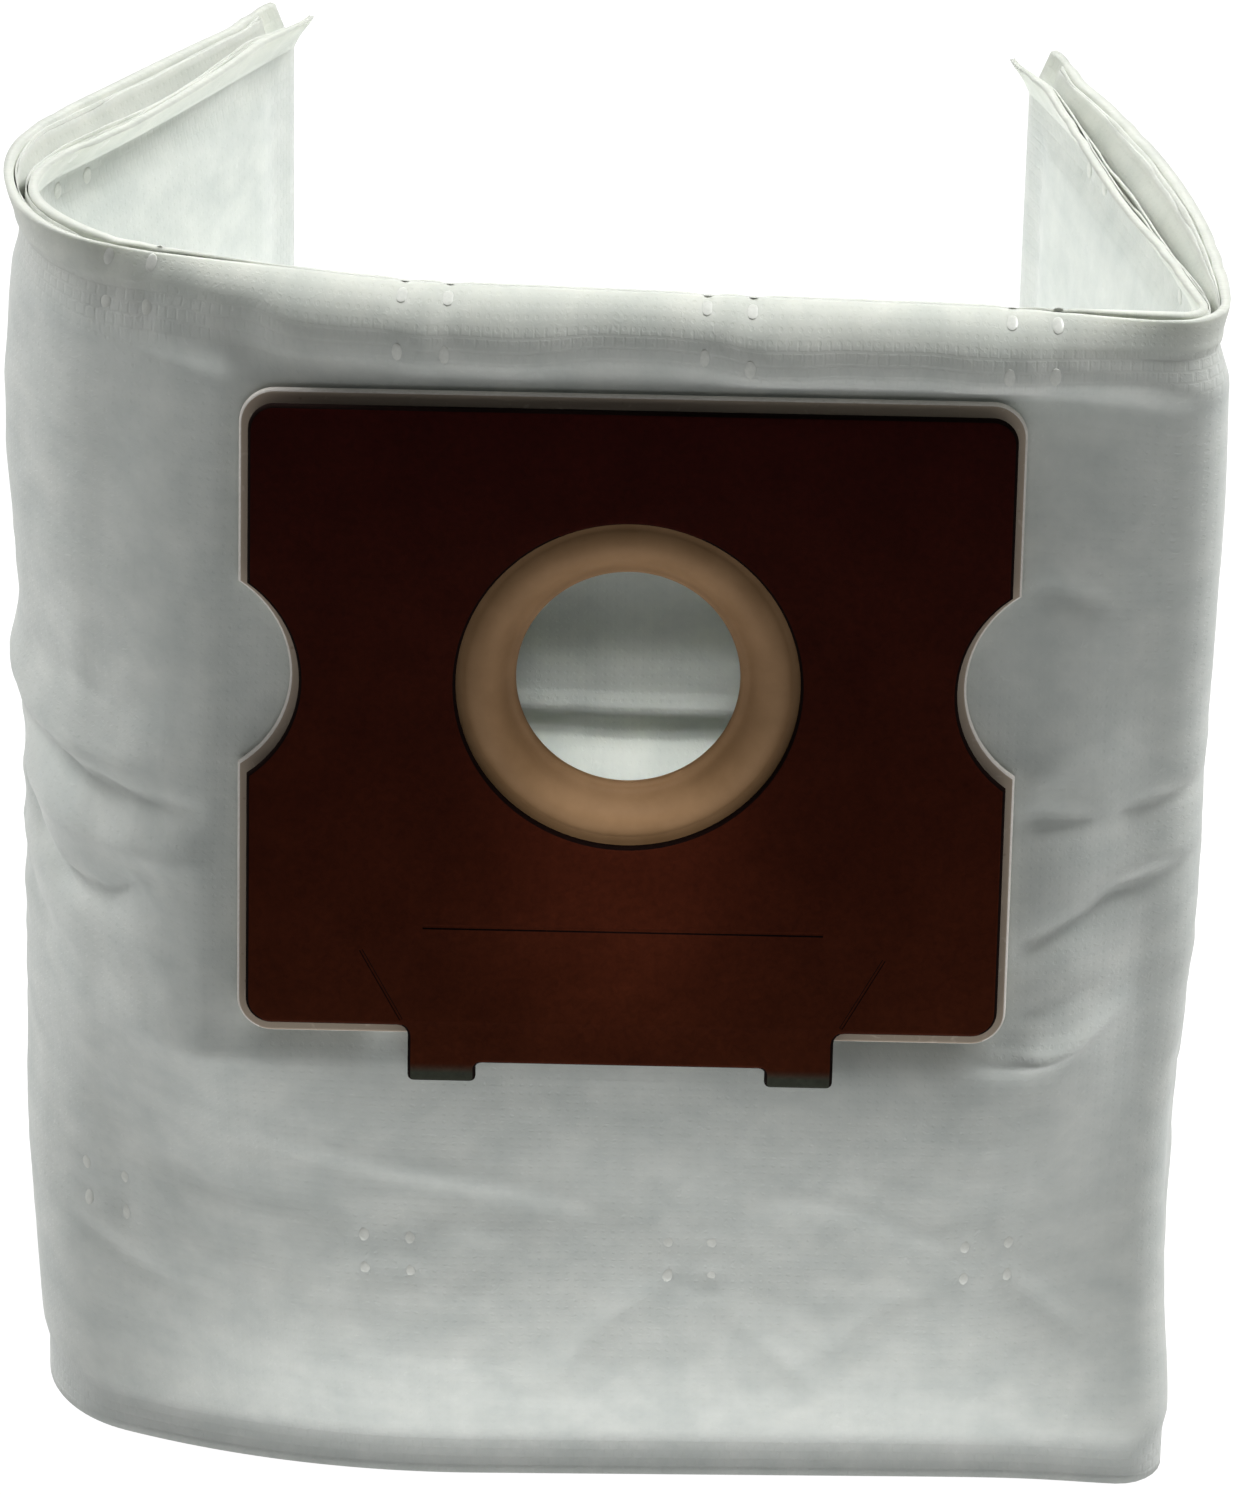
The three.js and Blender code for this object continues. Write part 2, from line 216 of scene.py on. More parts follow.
COLLAR_Y = LAND_CENTRE_Y - STACK / math.cos(COLLAR_TILT)


def plan_at(s):
    """Place and outward direction, seen from above, at distances along the bag."""
    x, y, heading = (np.interp(s, PLAN[0], column) for column in PLAN[1:])
    return x, y, np.sin(heading), -np.cos(heading)


def wing_set(s, z):
    """The right end stands straighter at its top than at its foot."""
    along = np.clip((s - FOLD_CENTRE) / (HALF - FOLD_CENTRE), 0, 1)
    return WING_SET * np.sin(np.pi * along) * smoothstep(z, *WING_SET_RISE)


def corner_out(s, z):
    """The front's corners stand out, and the right fold draws in above its foot."""
    left = bulge(s, BEND_CENTRE, *CORNER_LEFT) * smoothstep(z, *CORNER_LEFT_RISE)
    top = CORNER_RIGHT_OUT * between(z, *CORNER_RIGHT_HEIGHTS)
    foot = FOOT_RIGHT_OUT * (1 - smoothstep(z, *FOOT_HEIGHTS)) - bulge(z, *FOLD_WAIST)
    return left + hump(s, FOLD_CENTRE, CORNER_RIGHT_REACH) * (top + foot)


def lean_free(s, z, outward):
    """Points of the bag at a distance outwards from its middle surface."""
    x, y, out_x, out_y = plan_at(s)
    outward = outward + corner_out(s, z) - wing_set(s, z)
    return np.stack([x + out_x * outward, y + out_y * outward - lean_at(x, z), z + 0 * s], -1)


def land_y(z):
    """The flat part of the front sheet that the collar is glued to."""
    return LAND_CENTRE_Y + (z - COLLAR_HEIGHT) * math.tan(COLLAR_TILT)


def land_share(s, z):
    """1 under the collar, 0 away from it."""
    right = 1 - smoothstep(s, LAND_HALF, LAND_HALF + LAND_FADE)
    left = falling_away(-s - LAND_HALF, LAND_FADE_LEFT)
    above = 1 - smoothstep(z, LAND_TOP, WELD_TOP)
    return right * left * above * falling_away(LAND_BOTTOM - z, LAND_FADE_BELOW)


def falling_away(distance, fade):
    """From 1 to 0 over a distance, steepest at its start."""
    return (1 - np.clip(distance / fade, 0, 1)) ** FALL_STEEPNESS


def clear_of_collar(s, z):
    """0 under the collar's backing, 1 a few millimetres outside its outline."""
    beside = np.abs(s) - COLLAR_WIDTH / 2 - BACKING_BORDER
    away = np.maximum(beside, np.maximum(BACKING_FOOT - z, z - LAND_TOP))
    return smoothstep(away, *CREASES_CLEAR)


def under_collar(s, z):
    """The front sheet falls back just below the collar's lower edge, beside the tongue."""
    tucked = between(s, *TUCK_RIGHT) + TUCK_LEFT_SHARE * between(-s, *TUCK_LEFT)
    return tucked * bulge(z, BACKING_FOOT, *TUCK)


def puff_share(s, z):
    """0 at the welds, 1 well inside them."""
    up = np.clip((z - BOTTOM_MARGIN) / (WELD_TOP - BOTTOM_MARGIN), 0, 1)
    inward = np.clip((HALF - SIDE_MARGIN - np.abs(s)) / PUFF_EDGE, 0, 1)
    at_fold = 1 - bulge(s, FOLD_CENTRE, *FOLD_PINCH)
    at_bend = 1 - bulge(s, BEND_CENTRE, *BEND_PINCH)
    height = np.sin(np.pi * up) ** PUFF_ROUNDNESS
    return height * np.sin(np.pi / 2 * inward) ** PUFF_ROUNDNESS * (at_fold * at_bend)


def front_share(s):
    """1 on the front, 0 on the wings."""
    fading, end, fading_left = FRONT_ENDS
    right = 1 - smoothstep(s, RIGHT_FRONT + fading, FOLD_CENTRE + end)
    left = 1 - smoothstep(-s, LEFT_FRONT + fading_left, -BEND_CENTRE)
    return np.where(s > 0, right, left)


def lip_at(s, z):
    """How far the free top edge opens above the weld."""
    rise = np.clip((z - WELD_TOP) / TOP_MARGIN, 0, 1)
    wing_start = np.where(s > 0, FOLD_CENTRE, -BEND_CENTRE - BEND_LENGTH / 2)
    along = np.clip((np.abs(s) - wing_start) / (HALF - wing_start), 0, 1)
    opening = FRONT_LIP * front_share(s) + WING_LIP * np.sin(np.pi * along) ** LIP_ROUNDNESS
    open_bend = 1 - bulge(s, BEND_CENTRE, *BEND_SHUT)
    return rise * (opening * open_bend + TIP_OPEN * smoothstep(along, TIP_START, 1))


# How the front's corners, its foot and the right end depart from the plan, and the heights at
# which they do
CORNER_LEFT = (2.4, 26)
CORNER_LEFT_RISE = (115, 168)
CORNER_RIGHT_OUT = 1.6
CORNER_RIGHT_REACH = 14
CORNER_RIGHT_HEIGHTS = (120, 175, 188, 196)
FOOT_RIGHT_OUT = 1.6
FOOT_HEIGHTS = (6, 32)
FOLD_WAIST = (58, 2.4, 26)
WING_SET = 2.9
WING_SET_RISE = (110, 195)

# The back sheet's fold from its pack, by height; forms are height, depth and reach
PACK_LEDGE = (92, 101)
PACK_FOLD_TOP = 111.8
PACK_FOLD_FADE = 8.5
PACK_FOLD_DEPTH = 9
PACK_TUCK = (126.4, 0.9, 1.3)
PACK_TUCK_FOOT = (122.4, 0.8, 1.4)
PACK_RIDGE = (143, 2, 9)
PACK_WANDER = (0.8, 24)

# Crumples of the fabric: height, and pitch of the pattern
WANDER = (3, 22)
SWELL = (0.55, 34)
BROAD_CREASES = (0.4, 26)
FINE_CREASES = (0.3, 11)
SHORT_CREASES = (0.34, 9)
NICKS = (0.16, 5.2)
CREASE_LEVEL = 0.35
BUSY_BASE = 0.5
BUSY_SHIFT = 5
BUSY_SIDES = (45, 75)
BUSY_BAND = (95, 1.1, 55)
CREASE_TAPER = (0.04, 0.96)
CREASE_END = 0.6
CREASE_ROUND = 0.06
CREASE_FALL = 1.6
NOISE_CELLS = 128
NOISE_START = (40, 10)

# The sheets' thickness, rims and welds
FABRIC_THICKNESS = 0.8
PRESSED_THICKNESS = 0.35
SOFT_RISE = 0.2
WELD_HEIGHT = 2.5
WELD_SOFTENS = 5
LIP_SOFTENS = 1.5
END_SOFTENS = 3
LOOSE_FROM = (0.02, 0.45)
RIM_FLUFF = 0.6
FLUFF_START = 2
FABRIC_HOLE_RADIUS = WINDOW_RADIUS + 1.5
RIM_START = 185
ROLL_START = 191.5
FRONT_ROLL = 7
BACK_ROLL = 2.6
ROLL_GAP = 0.02
RIM_UNEVEN = (0.14, 21)
RIM_RIPPLE = (0.05, 6)
EDGE_WAVE = (0.35, 17)
EDGE_LOWER = 0.25
PLY_PLACES = [(1.1, 0.84), (0.65, 0.7), (0.2, -0.72), (-0.25, -0.86)]
PLY_START = 0.8
PLY_THICKNESS = 0.4
PLY_SHARE = 0.09
PLY_SPREAD = 1.3
PLY_LOWER = 5
PLY_RIM = (193, 200)
PLY_WANDER = (0.02, 9)
PLY_UNEVEN = 0.3
PLY_RIPPLE = (0.25, 6)
WELD_SEAM = 0.05
TUCK = (4.6, 4)
TUCK_RIGHT = (29, 34, 48, 55)
TUCK_LEFT = (33, 38, 47, 54)
TUCK_LEFT_SHARE = 0.6
COLUMN_STEP = 1.3
ROW_STEP = 1.35
RIM_STEP = 0.55

# Spot welds through all the plies, in twos and twos: distance along the bag and height
DOT_WIDTH = 1.9
DOT_HEIGHT = 2.9
DOT_SIZES = {"Dot width": DOT_WIDTH, "Dot height": DOT_HEIGHT, "Dot thickness": 0.3}
DOT_DENT = 0.4
DENT_FALL = 1.3
DOT_CLEAR = 6
DOT_APART = (6.5, 6.4)
DOT_PITCH = 43.3
UPPER_DOTS = [(13.5 + DOT_PITCH * number, 194.6) for number in range(-4, 4)]
LOWER_DOTS = [(11.5 + (DOT_PITCH + 1.2) * number, 44.5) for number in range(-4, 4)]
DOTS = [
    (s + side * DOT_APART[0] / 2, z + up * DOT_APART[1] / 2)
    for s, z in UPPER_DOTS + LOWER_DOTS
    for side in (-1, 1)
    for up in (-1, 1)
    if abs(s) < HALF - SIDE_MARGIN - DOT_CLEAR
]

# Creases of the front sheet: points as (distance along the bag, height), then height out of the
# sheet and half width
FRONT_CREASES = [
    ([(-118, 124), (-96, 124), (-64, 118)], 1.8, 7),
    ([(-97, 114), (-88, 115.5), (-70, 118), (-57, 119)], -2.8, 3),
    ([(-98, 107), (-86, 108), (-70, 111), (-57, 112)], 1.9, 4),
    ([(-98, 108), (-91, 100), (-85, 96.5), (-76, 99), (-68, 106)], -2.9, 3),
    ([(-97, 121), (-84, 121), (-66, 125)], 1.1, 2.6),
    ([(-98, 90), (-88, 86), (-74, 84)], -0.9, 3),
    ([(-98, 128), (-86, 130), (-64, 133)], -0.9, 3),
    ([(-94, 150), (-80, 152), (-62, 150)], 0.5, 3),
    ([(-92, 44), (-80, 43), (-69, 45.5)], -0.6, 3),
    ([(-86, 38), (-74, 33), (-64, 30.5)], -0.7, 2.6),
    ([(57, 157), (64, 156), (70, 154)], -0.9, 2.4),
    ([(57, 126), (64, 130), (74, 131)], 0.9, 3),
    ([(56, 121.5), (69, 120.5)], -1.9, 2.6),
    ([(71, 120), (85, 123)], -2.1, 2.6),
    ([(55, 100), (62, 101.5), (68, 104.5), (72, 107.5), (83, 110)], -2.9, 3.2),
    ([(72, 108), (82, 116)], 1, 3),
    ([(52, 83.5), (60, 83.8), (67, 85), (74, 89)], 3, 2),
    ([(56, 90), (64, 91.5), (72, 95)], -0.9, 2.2),
    ([(-50, 66), (-34, 62), (-17, 59), (-8, 56.5), (5.5, 48.5)], 0.35, 2.6),
    ([(-50, 62.5), (-34, 58.5), (-17, 55.5), (-9, 52.5)], -0.3, 2.4),
    ([(15, 49), (25, 57.5), (37, 55), (50.5, 47.5)], 0.35, 2.4),
    ([(59, 42), (66, 32), (72, 26)], -0.7, 2.4),
    ([(15, 41), (19.5, 31), (28.5, 21), (36, 12)], -0.4, 2.2),
    ([(7, 39), (-2, 30.5), (-11, 16)], -0.35, 2.2),
    ([(51, 39.5), (40.5, 35.5), (28.5, 21)], -0.35, 2.2),
    ([(-48, 189), (-32, 190), (-18, 191)], -0.8, 2),
    ([(48, 191), (58, 190), (68, 192)], -0.8, 2),
]


def lattice_noise(s, z, pitch, seed):
    """Smooth random values from -1 to 1, one per lattice point a pitch apart."""
    rng = np.random.default_rng(seed)
    table = rng.uniform(-1, 1, (NOISE_CELLS, NOISE_CELLS))
    u = s / pitch + NOISE_START[0]
    v = z / pitch + NOISE_START[1]
    i = np.floor(u).astype(int)
    j = np.floor(v).astype(int)
    fu = u - i
    fv = v - j
    fu = fu * fu * fu * (fu * (fu * 6 - 15) + 10)
    fv = fv * fv * fv * (fv * (fv * 6 - 15) + 10)
    i0, i1 = i % NOISE_CELLS, (i + 1) % NOISE_CELLS
    j0, j1 = j % NOISE_CELLS, (j + 1) % NOISE_CELLS
    low = table[i0, j0] * (1 - fu) + table[i1, j0] * fu
    high = table[i0, j1] * (1 - fu) + table[i1, j1] * fu
    return low * (1 - fv) + high * fv


def waves(s, z, form, seed):
    """Waves of a height and a pitch."""
    height, pitch = form
    return height * lattice_noise(s, z, pitch, seed)


def creased_waves(s, z, form, seed):
    """Waves with a thin crease wherever they turn over."""
    height, pitch = form
    return height * (CREASE_LEVEL - np.abs(lattice_noise(s, z, pitch, seed)))


def crumple(s, z, seed):
    """The fabric's gentle waves and thin creases, in millimetres."""
    wander = waves(s, z, WANDER, seed + 5)
    swell = waves(s, z, SWELL, seed)
    busy = BUSY_BASE + smoothstep(np.abs(s + BUSY_SHIFT), *BUSY_SIDES) * bulge(z, *BUSY_BAND)
    short = creased_waves(s + 2 * wander, z, SHORT_CREASES, seed + 6)
    nicks = creased_waves(s, z + 2 * wander, NICKS, seed + 7)
    broad = creased_waves(s + wander, 0.8 * z - wander, BROAD_CREASES, seed + 1)
    fine = creased_waves(s - wander, z + wander, FINE_CREASES, seed + 2)
    return swell + broad + fine + busy * (short + nicks)


def crease_height(s, z, line, height, reach):
    """A crease along a line of points, fading out at both of its ends."""
    nearest = np.full(np.shape(s), 1e9)
    along = np.zeros(np.shape(s))
    lengths = [math.dist(a, b) for a, b in zip(line, line[1:])]
    total = sum(lengths)
    before = 0
    for (s0, z0), (s1, z1), length in zip(line, line[1:], lengths):
        run = np.clip(((s - s0) * (s1 - s0) + (z - z0) * (z1 - z0)) / length**2, 0, 1)
        away = np.hypot(s - s0 - run * (s1 - s0), z - z0 - run * (z1 - z0))
        closer = away < nearest
        nearest = np.where(closer, away, nearest)
        along = np.where(closer, (before + run * length) / total, along)
        before += length
    taper = np.sin(np.pi * np.clip(along, *CREASE_TAPER)) ** CREASE_END
    rounded = np.sqrt((nearest / reach) ** 2 + CREASE_ROUND) - math.sqrt(CREASE_ROUND)
    return height * taper * np.exp(-CREASE_FALL * rounded)


def dents(s, z):
    """How far the spot welds press the sheets together."""
    pressed = np.zeros(np.shape(s))
    for dot_s, dot_z in DOTS:
        away = ((s - dot_s) / DOT_WIDTH) ** 2 + ((z - dot_z) / DOT_HEIGHT) ** 2
        pressed += DOT_DENT * np.exp(-DENT_FALL * away)
    return pressed


def softness(s, z):
    """0 in the pressed welds, 1 in the loose fabric."""
    from_side = HALF - SIDE_MARGIN - np.abs(s)
    inside = np.minimum(z - BOTTOM_MARGIN, from_side)
    loose = smoothstep(np.minimum(inside, WELD_TOP - WELD_HEIGHT - z), 0, WELD_SOFTENS)
    lip = smoothstep(z, WELD_TOP, WELD_TOP + LIP_SOFTENS) * smoothstep(from_side, 0, END_SOFTENS)
    return np.maximum(loose, lip)


def thickness_at(s, z):
    """The sheet's thickness: pressed in the welds, and fluffed out along the ends' free rim."""
    fluffed = smoothstep(z, WELD_TOP + FLUFF_START, BAG_HEIGHT) * (1 - front_share(s))
    loose = (FABRIC_THICKNESS - PRESSED_THICKNESS) * softness(s, z)
    return PRESSED_THICKNESS + loose + RIM_FLUFF * fluffed


def front_creases(s, z):
    return sum(crease_height(s, z, *crease) for crease in FRONT_CREASES)


def stand_off(s, z, puff, folds):
    """How far a sheet stands off the bag's middle surface."""
    return np.maximum(0, puff + folds) + lip_at(s, z) + SOFT_RISE * softness(s, z)


def front_outside(s, z):
    share = puff_share(s, z)
    puff = share * (WING_PUFF + (FRONT_PUFF - WING_PUFF) * front_share(s))
    folds = smoothstep(share, *LOOSE_FROM) * (front_creases(s, z) + crumple(s, z, RNG_SEED))
    return stand_off(s, z, puff, folds)


def back_outside(s, z):
    """The same for the back sheet, counted inwards."""
    share = puff_share(s, z)
    puff = share * (WING_PUFF + (BACK_PUFF - WING_PUFF) * front_share(s))
    level = z + waves(s, 0 * z, PACK_WANDER, RNG_SEED + 3)
    over = 1 - np.clip((level - PACK_FOLD_TOP) / PACK_FOLD_FADE, 0, 1)
    ledge = smoothstep(level, *PACK_LEDGE) * over
    tuck = bulge(level, *PACK_TUCK) - bulge(level, *PACK_TUCK_FOOT)
    creased = PACK_FOLD_DEPTH * ledge + tuck - bulge(z, *PACK_RIDGE)
    loose = smoothstep(share, *LOOSE_FROM)
    folds = loose * crumple(s, z, RNG_SEED + 40) - puff / BACK_PUFF * creased
    return stand_off(s, z, puff, folds)


def outer_face(s, z, away):
    """Distance of a sheet's outer face; a spot weld can't press it past the other sheet."""
    return np.maximum(away - dents(s, z), WELD_SEAM) + thickness_at(s, z)


def wavy_height(s, z, seed):
    """The cut edges run a little unevenly."""
    rise = smoothstep(z, WELD_TOP, BAG_HEIGHT)
    return z + rise * (waves(s, 0 * z, EDGE_WAVE, seed) - EDGE_LOWER)


def rolled_rim(points, s, z, side, radius, inset, seed, rolling):
    """Rolls a sheet's upper margin on the front over to the closed rim; side is 1 or -1."""
    uneven = 1 + waves(s, 0 * z, RIM_UNEVEN, seed) + waves(s, 0 * z, RIM_RIPPLE, seed + 1)
    radius = radius * uneven
    tangent = BAG_HEIGHT - radius
    turn = np.clip((z - ROLL_START) / (BAG_HEIGHT - ROLL_START), 0, 1) * math.pi / 2
    rising = RIM_START + (z - RIM_START) * (tangent - RIM_START) / (ROLL_START - RIM_START)
    height = np.where(z > ROLL_START, tangent + radius * np.sin(turn), rising)
    away = ROLL_GAP + radius * np.cos(turn)
    rim = lean_free(s, height - inset * np.sin(turn), side * (away - inset * np.cos(turn)))
    taken = (smoothstep(z, *rolling) * front_share(s))[..., None]
    return points + taken * (rim - points)


def front_points(s, z, inset):
    outward = outer_face(s, z, front_outside(s, z)) - inset
    points = lean_free(s, wavy_height(s, z, RNG_SEED + 7), outward)
    inset = inset + dents(s, z)
    share = land_share(s, z)
    points[..., 1] += share * (land_y(z) + inset - points[..., 1]) + under_collar(s, z)
    points[..., 1] -= share * clear_of_collar(s, z) * front_creases(s, z)
    rolling = (RIM_START, ROLL_START - 1)
    return rolled_rim(points, s, z, 1, FRONT_ROLL, inset, RNG_SEED + 9, rolling)


def back_points(s, z, inset):
    inward = outer_face(s, z, back_outside(s, z)) - inset
    points = lean_free(s, wavy_height(s, z, RNG_SEED + 8), -inward)
    inset = inset + dents(s, z)
    rolling = (RIM_START + 2, ROLL_START)
    return rolled_rim(points, s, z, -1, BACK_ROLL, inset, RNG_SEED + 12, rolling)


# The bag's plan is moved so that the frame's origin is under its middle
ROW_SHIFT = np.array([3.1912, -34.9331, 0])
COLLAR_TURN = Matrix.Rotation(math.pi / 2 - COLLAR_TILT, 4, "X")
COLLAR_PLACE = Matrix.Translation(
    Vector((ROW_SHIFT[0], COLLAR_Y + ROW_SHIFT[1], COLLAR_HEIGHT)) * MM
) @ COLLAR_TURN


def new_object(name, data):
    """An object of the scene."""
    made = bpy.data.objects.new(name, data)
    bpy.context.scene.collection.objects.link(made)
    return made


@contextmanager
def editing(mesh):
    """Opens a mesh for an edit, and writes the edit back."""
    bm = bmesh.new()
    bm.from_mesh(mesh)
    yield bm
    bm.to_mesh(mesh)
    bm.free()


def show(mesh, name, node, materials):
    """Makes a finished piece of a mesh; it may stand for a solid of the frame."""
    piece = new_object(name, mesh)
    for material in materials:
        if material.name not in mesh.materials:
            mesh.materials.append(material)
    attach(piece, "root")
    if node:
        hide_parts(node)
    return piece


def stations(stops, step):
    """Even stations from stop to stop, at most a step apart."""
    runs = [
        np.linspace(a, b, max(1, math.ceil((b - a) / step)), endpoint=False)
        for a, b in zip(stops, stops[1:])
    ]
    return np.concatenate([*runs, [stops[-1]]])


def shell(name, outer, inner, s, z, keep=None):
    """A closed sheet between two grids of points, without the cells that aren't kept."""
    columns, rows = s.shape
    index = np.arange(columns * rows).reshape(columns, rows)
    quads = np.stack([index[:-1, :-1], index[1:, :-1], index[1:, 1:], index[:-1, 1:]], -1)
    quads = quads[keep] if keep is not None else quads.reshape(-1, 4)
    edges = np.concatenate([quads[:, [k, (k + 1) % 4]] for k in range(4)])
    key = np.sort(edges, axis=1)
    code = key[:, 0] * columns * rows + key[:, 1]
    _, first, count = np.unique(code, return_index=True, return_counts=True)
    rim = edges[first[count == 1]]
    inside = columns * rows
    walls = np.stack([rim[:, 1], rim[:, 0], rim[:, 0] + inside, rim[:, 1] + inside], -1)
    faces = np.concatenate([quads, quads[:, ::-1] + inside, walls])
    points = np.concatenate([outer.reshape(-1, 3), inner.reshape(-1, 3)]) + ROW_SHIFT
    flat = np.stack([s.ravel() / BAG_WIDTH + 0.5, z.ravel() / BAG_HEIGHT], -1)
    flat = np.concatenate([flat, flat])
    used, packed = np.unique(faces, return_inverse=True)
    mesh = bpy.data.meshes.new(name)
    mesh.from_pydata(points[used] * MM, [], packed.reshape(faces.shape).tolist())
    corner = np.zeros(len(mesh.loops), dtype=np.int32)
    mesh.loops.foreach_get("vertex_index", corner)
    uv = mesh.uv_layers.new(name="flat")
    uv.data.foreach_set("uv", flat[used][corner].ravel().astype(np.float32))
    pressed = mesh.attributes.new("pressed", "FLOAT", "POINT")
    soft = softness(s, z).ravel()
    pressed.data.foreach_set("value", (1 - np.concatenate([soft, soft])[used]).astype(np.float32))
    mesh.shade_smooth()
    return mesh


def sheet_grid():
    half_fold = FOLD_RADIUS * FOLD_TURN / 2
    stops = [-HALF, -HALF + SIDE_MARGIN, FOLD_CENTRE - half_fold, FOLD_CENTRE + half_fold,
             HALF - SIDE_MARGIN, HALF]
    columns = stations(stops, COLUMN_STEP)
    low = stations([0, BOTTOM_MARGIN, RIM_START], ROW_STEP)
    high = stations([RIM_START, WELD_TOP, BAG_HEIGHT], RIM_STEP)
    rows = np.concatenate([low, high[1:]])
    return np.meshgrid(columns, rows, indexing="ij")


def sheet_faces(points, s, z):
    """A sheet's outer and inner face, its thickness apart."""
    outer = points(s, z, 0)
    return outer, outer + (points(s, z, 1) - outer) * thickness_at(s, z)[..., None]


def front_sheet():
    s, z = sheet_grid()
    outer, inner = sheet_faces(front_points, s, z)
    seat = -STACK * np.array([0, -math.cos(COLLAR_TILT), math.sin(COLLAR_TILT)])
    centre = np.array([0, COLLAR_Y, COLLAR_HEIGHT]) + seat
    up = np.array([0, math.sin(COLLAR_TILT), math.cos(COLLAR_TILT)])
    across = outer[..., 0] - centre[0]
    rise = (outer - centre) @ up
    reach = np.hypot(across, rise)
    middle = (reach[:-1, :-1] + reach[1:, :-1] + reach[1:, 1:] + reach[:-1, 1:]) / 4
    keep = middle > FABRIC_HOLE_RADIUS
    near = np.abs(reach - FABRIC_HOLE_RADIUS) < COLUMN_STEP
    grow = np.where(near, FABRIC_HOLE_RADIUS / np.maximum(reach, 1), 1) - 1
    touched = np.zeros(s.shape, dtype=int)
    for i, j in ((0, 0), (1, 0), (1, 1), (0, 1)):
        touched[i : i + keep.shape[0], j : j + keep.shape[1]] += ~keep
    grow = np.where((touched > 0) & (touched < 4), grow, 0)[..., None]
    move = across[..., None] * np.array([1, 0, 0]) + rise[..., None] * up
    return shell("front_sheet", outer + grow * move, inner + grow * move, s, z, keep)


def back_sheet():
    s, z = sheet_grid()
    outer, inner = sheet_faces(back_points, s, z)
    return shell("back_sheet", inner, outer, s, z)


def ply(name, front_place, wing_place, seed):
    """One of the inner plies, whose cut edges fill the opening along the upper rim."""
    stops = [-HALF + SIDE_MARGIN, HALF - SIDE_MARGIN]
    columns = stations(stops, COLUMN_STEP)
    rows = stations([WELD_TOP + PLY_START, BAG_HEIGHT], ROW_STEP)
    s, z = np.meshgrid(columns, rows, indexing="ij")
    front = front_share(s)
    opening = lip_at(s, z) + WELD_SEAM
    on_wing = opening * (wing_place + waves(s, z, PLY_WANDER, seed))
    away = front * PLY_SPREAD * front_place + (1 - front) * on_wing
    thick = np.minimum(PLY_THICKNESS, front * PLY_THICKNESS + (1 - front) * PLY_SHARE * opening)
    lower = PLY_UNEVEN + waves(s, 0 * z, PLY_RIPPLE, seed + 1) + PLY_LOWER * front
    height = wavy_height(s, z, seed) - lower * smoothstep(z, *PLY_RIM)
    outer = lean_free(s, height, away + thick / 2)
    inner = lean_free(s, height, away - thick / 2)
    return shell(name, outer, inner, s, z)


def dot_anchors():
    """One vertex for each side of each spot weld, with the way that it faces."""
    s, z = np.array(DOTS).T
    places, facings, ups = [], [], []
    for points in (front_points, back_points):
        here = points(s, z, 0)
        along = points(s + 0.5, z, 0) - points(s - 0.5, z, 0)
        upward = points(s, z + 0.5, 0) - points(s, z - 0.5, 0)
        facing = np.cross(along, upward)
        if points is back_points:
            facing = -facing
        places.append(here + ROW_SHIFT)
        facings.append(facing / np.linalg.norm(facing, axis=1)[:, None])
        ups.append(upward / np.linalg.norm(upward, axis=1)[:, None])
    mesh = bpy.data.meshes.new("dot_anchors")
    mesh.from_pydata(np.concatenate(places) * MM, [], [])
    for name, values in (("facing", facings), ("upward", ups)):
        column = mesh.attributes.new(name, "FLOAT_VECTOR", "POINT")
        column.data.foreach_set("vector", np.concatenate(values).ravel().astype(np.float32))
    return mesh


def dot_tree(material):
    """Low oval domes on the anchors, as the welding horn leaves them."""
    tree = bpy.data.node_groups.new("spot_welds", "GeometryNodeTree")
    face = tree.interface
    face.new_socket("Anchors", in_out="INPUT", socket_type="NodeSocketGeometry")
    for name in DOT_SIZES:
        face.new_socket(name, in_out="INPUT", socket_type="NodeSocketFloat")
    face.new_socket("Dots", in_out="OUTPUT", socket_type="NodeSocketGeometry")
    start = tree.nodes.new("NodeGroupInput")
    end = tree.nodes.new("NodeGroupOutput")
    dome = add_node(tree, "GeometryNodeMeshUVSphere", Segments=12, Rings=6, Radius=0.5)
    size = add_node(tree, "ShaderNodeCombineXYZ")
    for axis, name in zip("XYZ", DOT_SIZES):
        link(tree, start, name, size, axis)
    shaped = fed(tree, dome, "Mesh", "GeometryNodeTransform", "Geometry")
    link(tree, size, "Vector", shaped, "Scale")
    facing, upward = (
        add_node(tree, "GeometryNodeInputNamedAttribute", data_type="FLOAT_VECTOR", Name=name)
        for name in ("facing", "upward")
    )
    out = add_node(tree, "FunctionNodeAxesToRotation", primary_axis="Z", secondary_axis="Y")
    link(tree, facing, "Attribute", out, "Primary Axis")
    link(tree, upward, "Attribute", out, "Secondary Axis")
    placed = fed(tree, start, "Anchors", "GeometryNodeInstanceOnPoints", "Points")
    link(tree, shaped, "Geometry", placed, "Instance")
    link(tree, out, "Rotation", placed, "Rotation")
    real = fed(tree, placed, "Instances", "GeometryNodeRealizeInstances", "Geometry")
    smooth = fed(tree, real, "Geometry", "GeometryNodeSetShadeSmooth", "Geometry")
    finish = fed(tree, smooth, "Geometry", "GeometryNodeSetMaterial", "Geometry", Material=material)
    link(tree, finish, "Geometry", end, "Dots")
    return tree


def spot_welds(material):
    maker = new_object("spot_welds", dot_anchors())
    nodes = maker.modifiers.new("spot_welds", "NODES")
    nodes.node_group = dot_tree(material)
    for item in nodes.node_group.interface.items_tree:
        if item.name in DOT_SIZES:
            nodes[item.identifier] = DOT_SIZES[item.name] * MM
    return made_mesh(maker, "spot_welds")


def arc(x, y, radius, start, end, steps=12):
    """Points along an arc, with its angles in degrees."""
    turn = np.radians(np.linspace(start, end, steps + 1))
    return [(x + radius * math.cos(a), y + radius * math.sin(a)) for a in turn]


